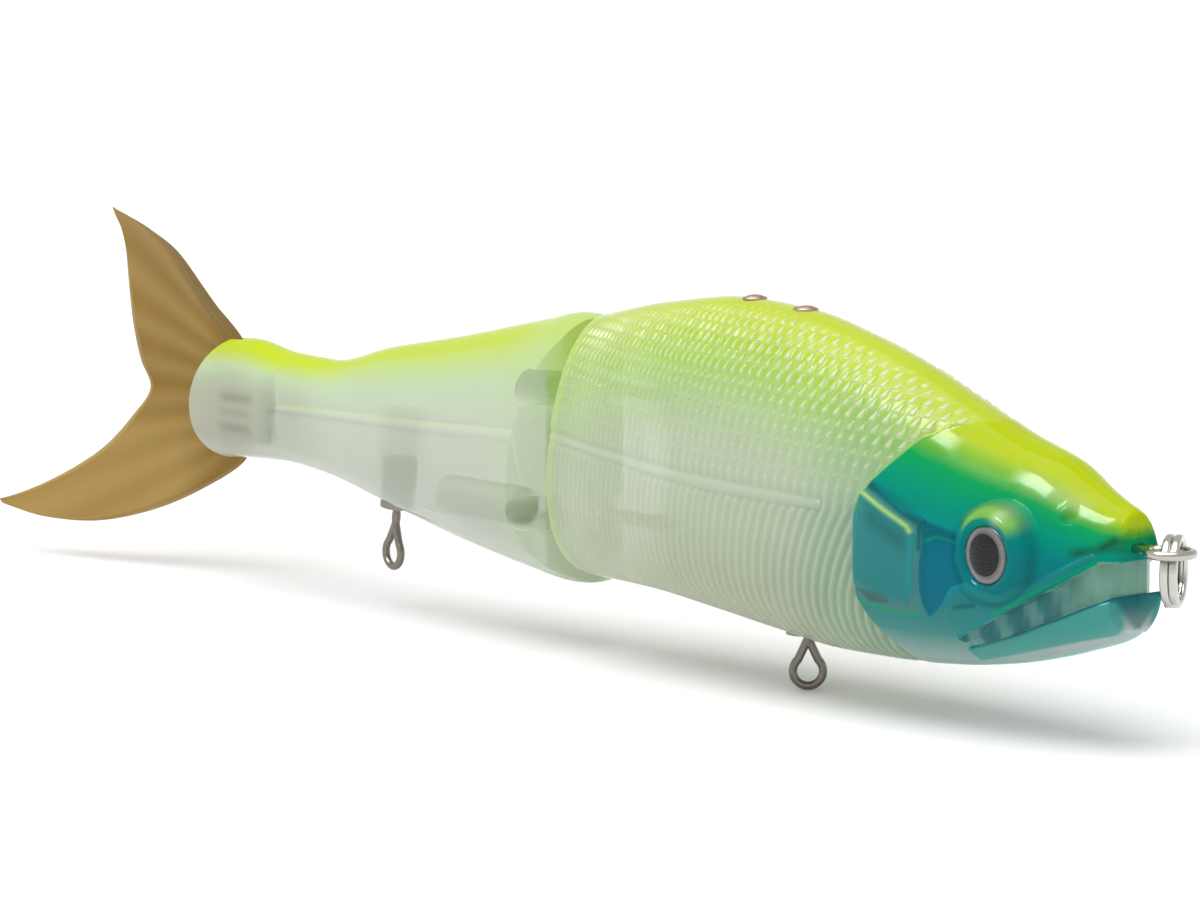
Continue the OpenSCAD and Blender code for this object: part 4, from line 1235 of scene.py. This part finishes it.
# back studs: domed heads with a thin rim
for where, x, z in STUDS:
    me = lathe([(0, -6), (0.52, -6), (0.6, -5.9), (0.6, 0.0), (1.32, 0.0), (1.40, 0.06), (1.40, 0.24),
                (1.33, 0.31), (1.20, 0.27), (1.14, 0.30), (1.00, 0.42), (0.70, 0.53), (0.35, 0.59),
                (0, 0.61)], 48)
    piece(f"back_stud_{where}_head", turned(me, move=(x, 0, z)), "front_body", "stud_metal", [stud_metal],
          [f"back_stud_{where}"], 40)

piece("tail_fin_blade", tail_blade(), "rear_body", "soft_tail", [soft_tail], ["tail_fin"], 60)
piece("tail_fin_tang", tail_tang(), "rear_body", "soft_tail", [soft_tail], [], 30)

# CAD nodes that show as they are, with their own metals
for node, mat in (("front_hanger_bush", bush_metal), ("rear_hanger_bush", bush_metal),
                  ("hinge_pin", pin_steel), ("front_ballast", lead), ("rear_ballast", lead)):
    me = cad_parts[node].data
    me.materials.clear()
    me.materials.append(mat)


# ---- floor, light and camera, in metres
def placed(name, data, at, direction, axis="-Z"):
    """An object whose axis points in a direction."""
    ob = linked(name, data)
    ob.location = at
    ob.rotation_euler = Vector(direction).to_track_quat(axis, "Y").to_euler()
    return ob


floor_z = -0.0222
me = bpy.data.meshes.new("floor")
me.from_pydata([(-5, -5, floor_z), (5, -5, floor_z), (5, 5, floor_z), (-5, 5, floor_z)], [], [(0, 1, 2, 3)])
floor = linked("floor", me)
n = Nodes("floor_paper")
paper = n.mix(n.noise(3.0, 2.0, 0.5), (0.90, 0.90, 0.90), (0.92, 0.92, 0.92))
me.materials.append(n.finish(n.add("BsdfDiffuse", Roughness=0.5, Color=paper)))

sun = bpy.data.lights.new("overhead", "SUN")
sun.energy, sun.angle = 2.25, math.radians(60)
placed("overhead", sun, (0, 0, 0), (-0.1, -0.25, 0.96), "Z")
box = bpy.data.lights.new("soft_box", "AREA")
box.shape, box.size, box.size_y, box.energy = "RECTANGLE", 0.27, 0.19, 5.6
placed("soft_box", box, (-0.20, -0.42, 0.64), (0.18, 0.42, -0.64)).visible_diffuse = False

# the sky is darker towards the horizon
world = bpy.data.worlds.new("studio")
world.use_nodes = True
tree = world.node_tree
around, up, sky = [tree.nodes.new("ShaderNode" + k) for k in ("TexCoord", "SeparateXYZ", "ValToRGB")]
tree.links.new(around.outputs["Generated"], up.inputs[0])
for e, at, v in zip(sky.color_ramp.elements, (0.10, 0.45), (1.0, 0.66)):
    e.position, e.color = at, (v, v, v, 1)
tree.links.new(up.outputs[2], sky.inputs[0])
tree.links.new(sky.outputs[0], tree.nodes["Background"].inputs[0])
bpy.context.scene.world = world
bpy.context.scene.view_settings.view_transform = "Standard"

cam_data = bpy.data.cameras.new("camera")
cam_data.lens, cam_data.sensor_width = 174.0, 36.0
cam_data.clip_start, cam_data.clip_end = 0.01, 20
camera = placed("camera", cam_data, (0.4219, -0.4320, 0.0900), (-0.7595, 0.6373, -0.1305))
bpy.context.scene.camera = camera
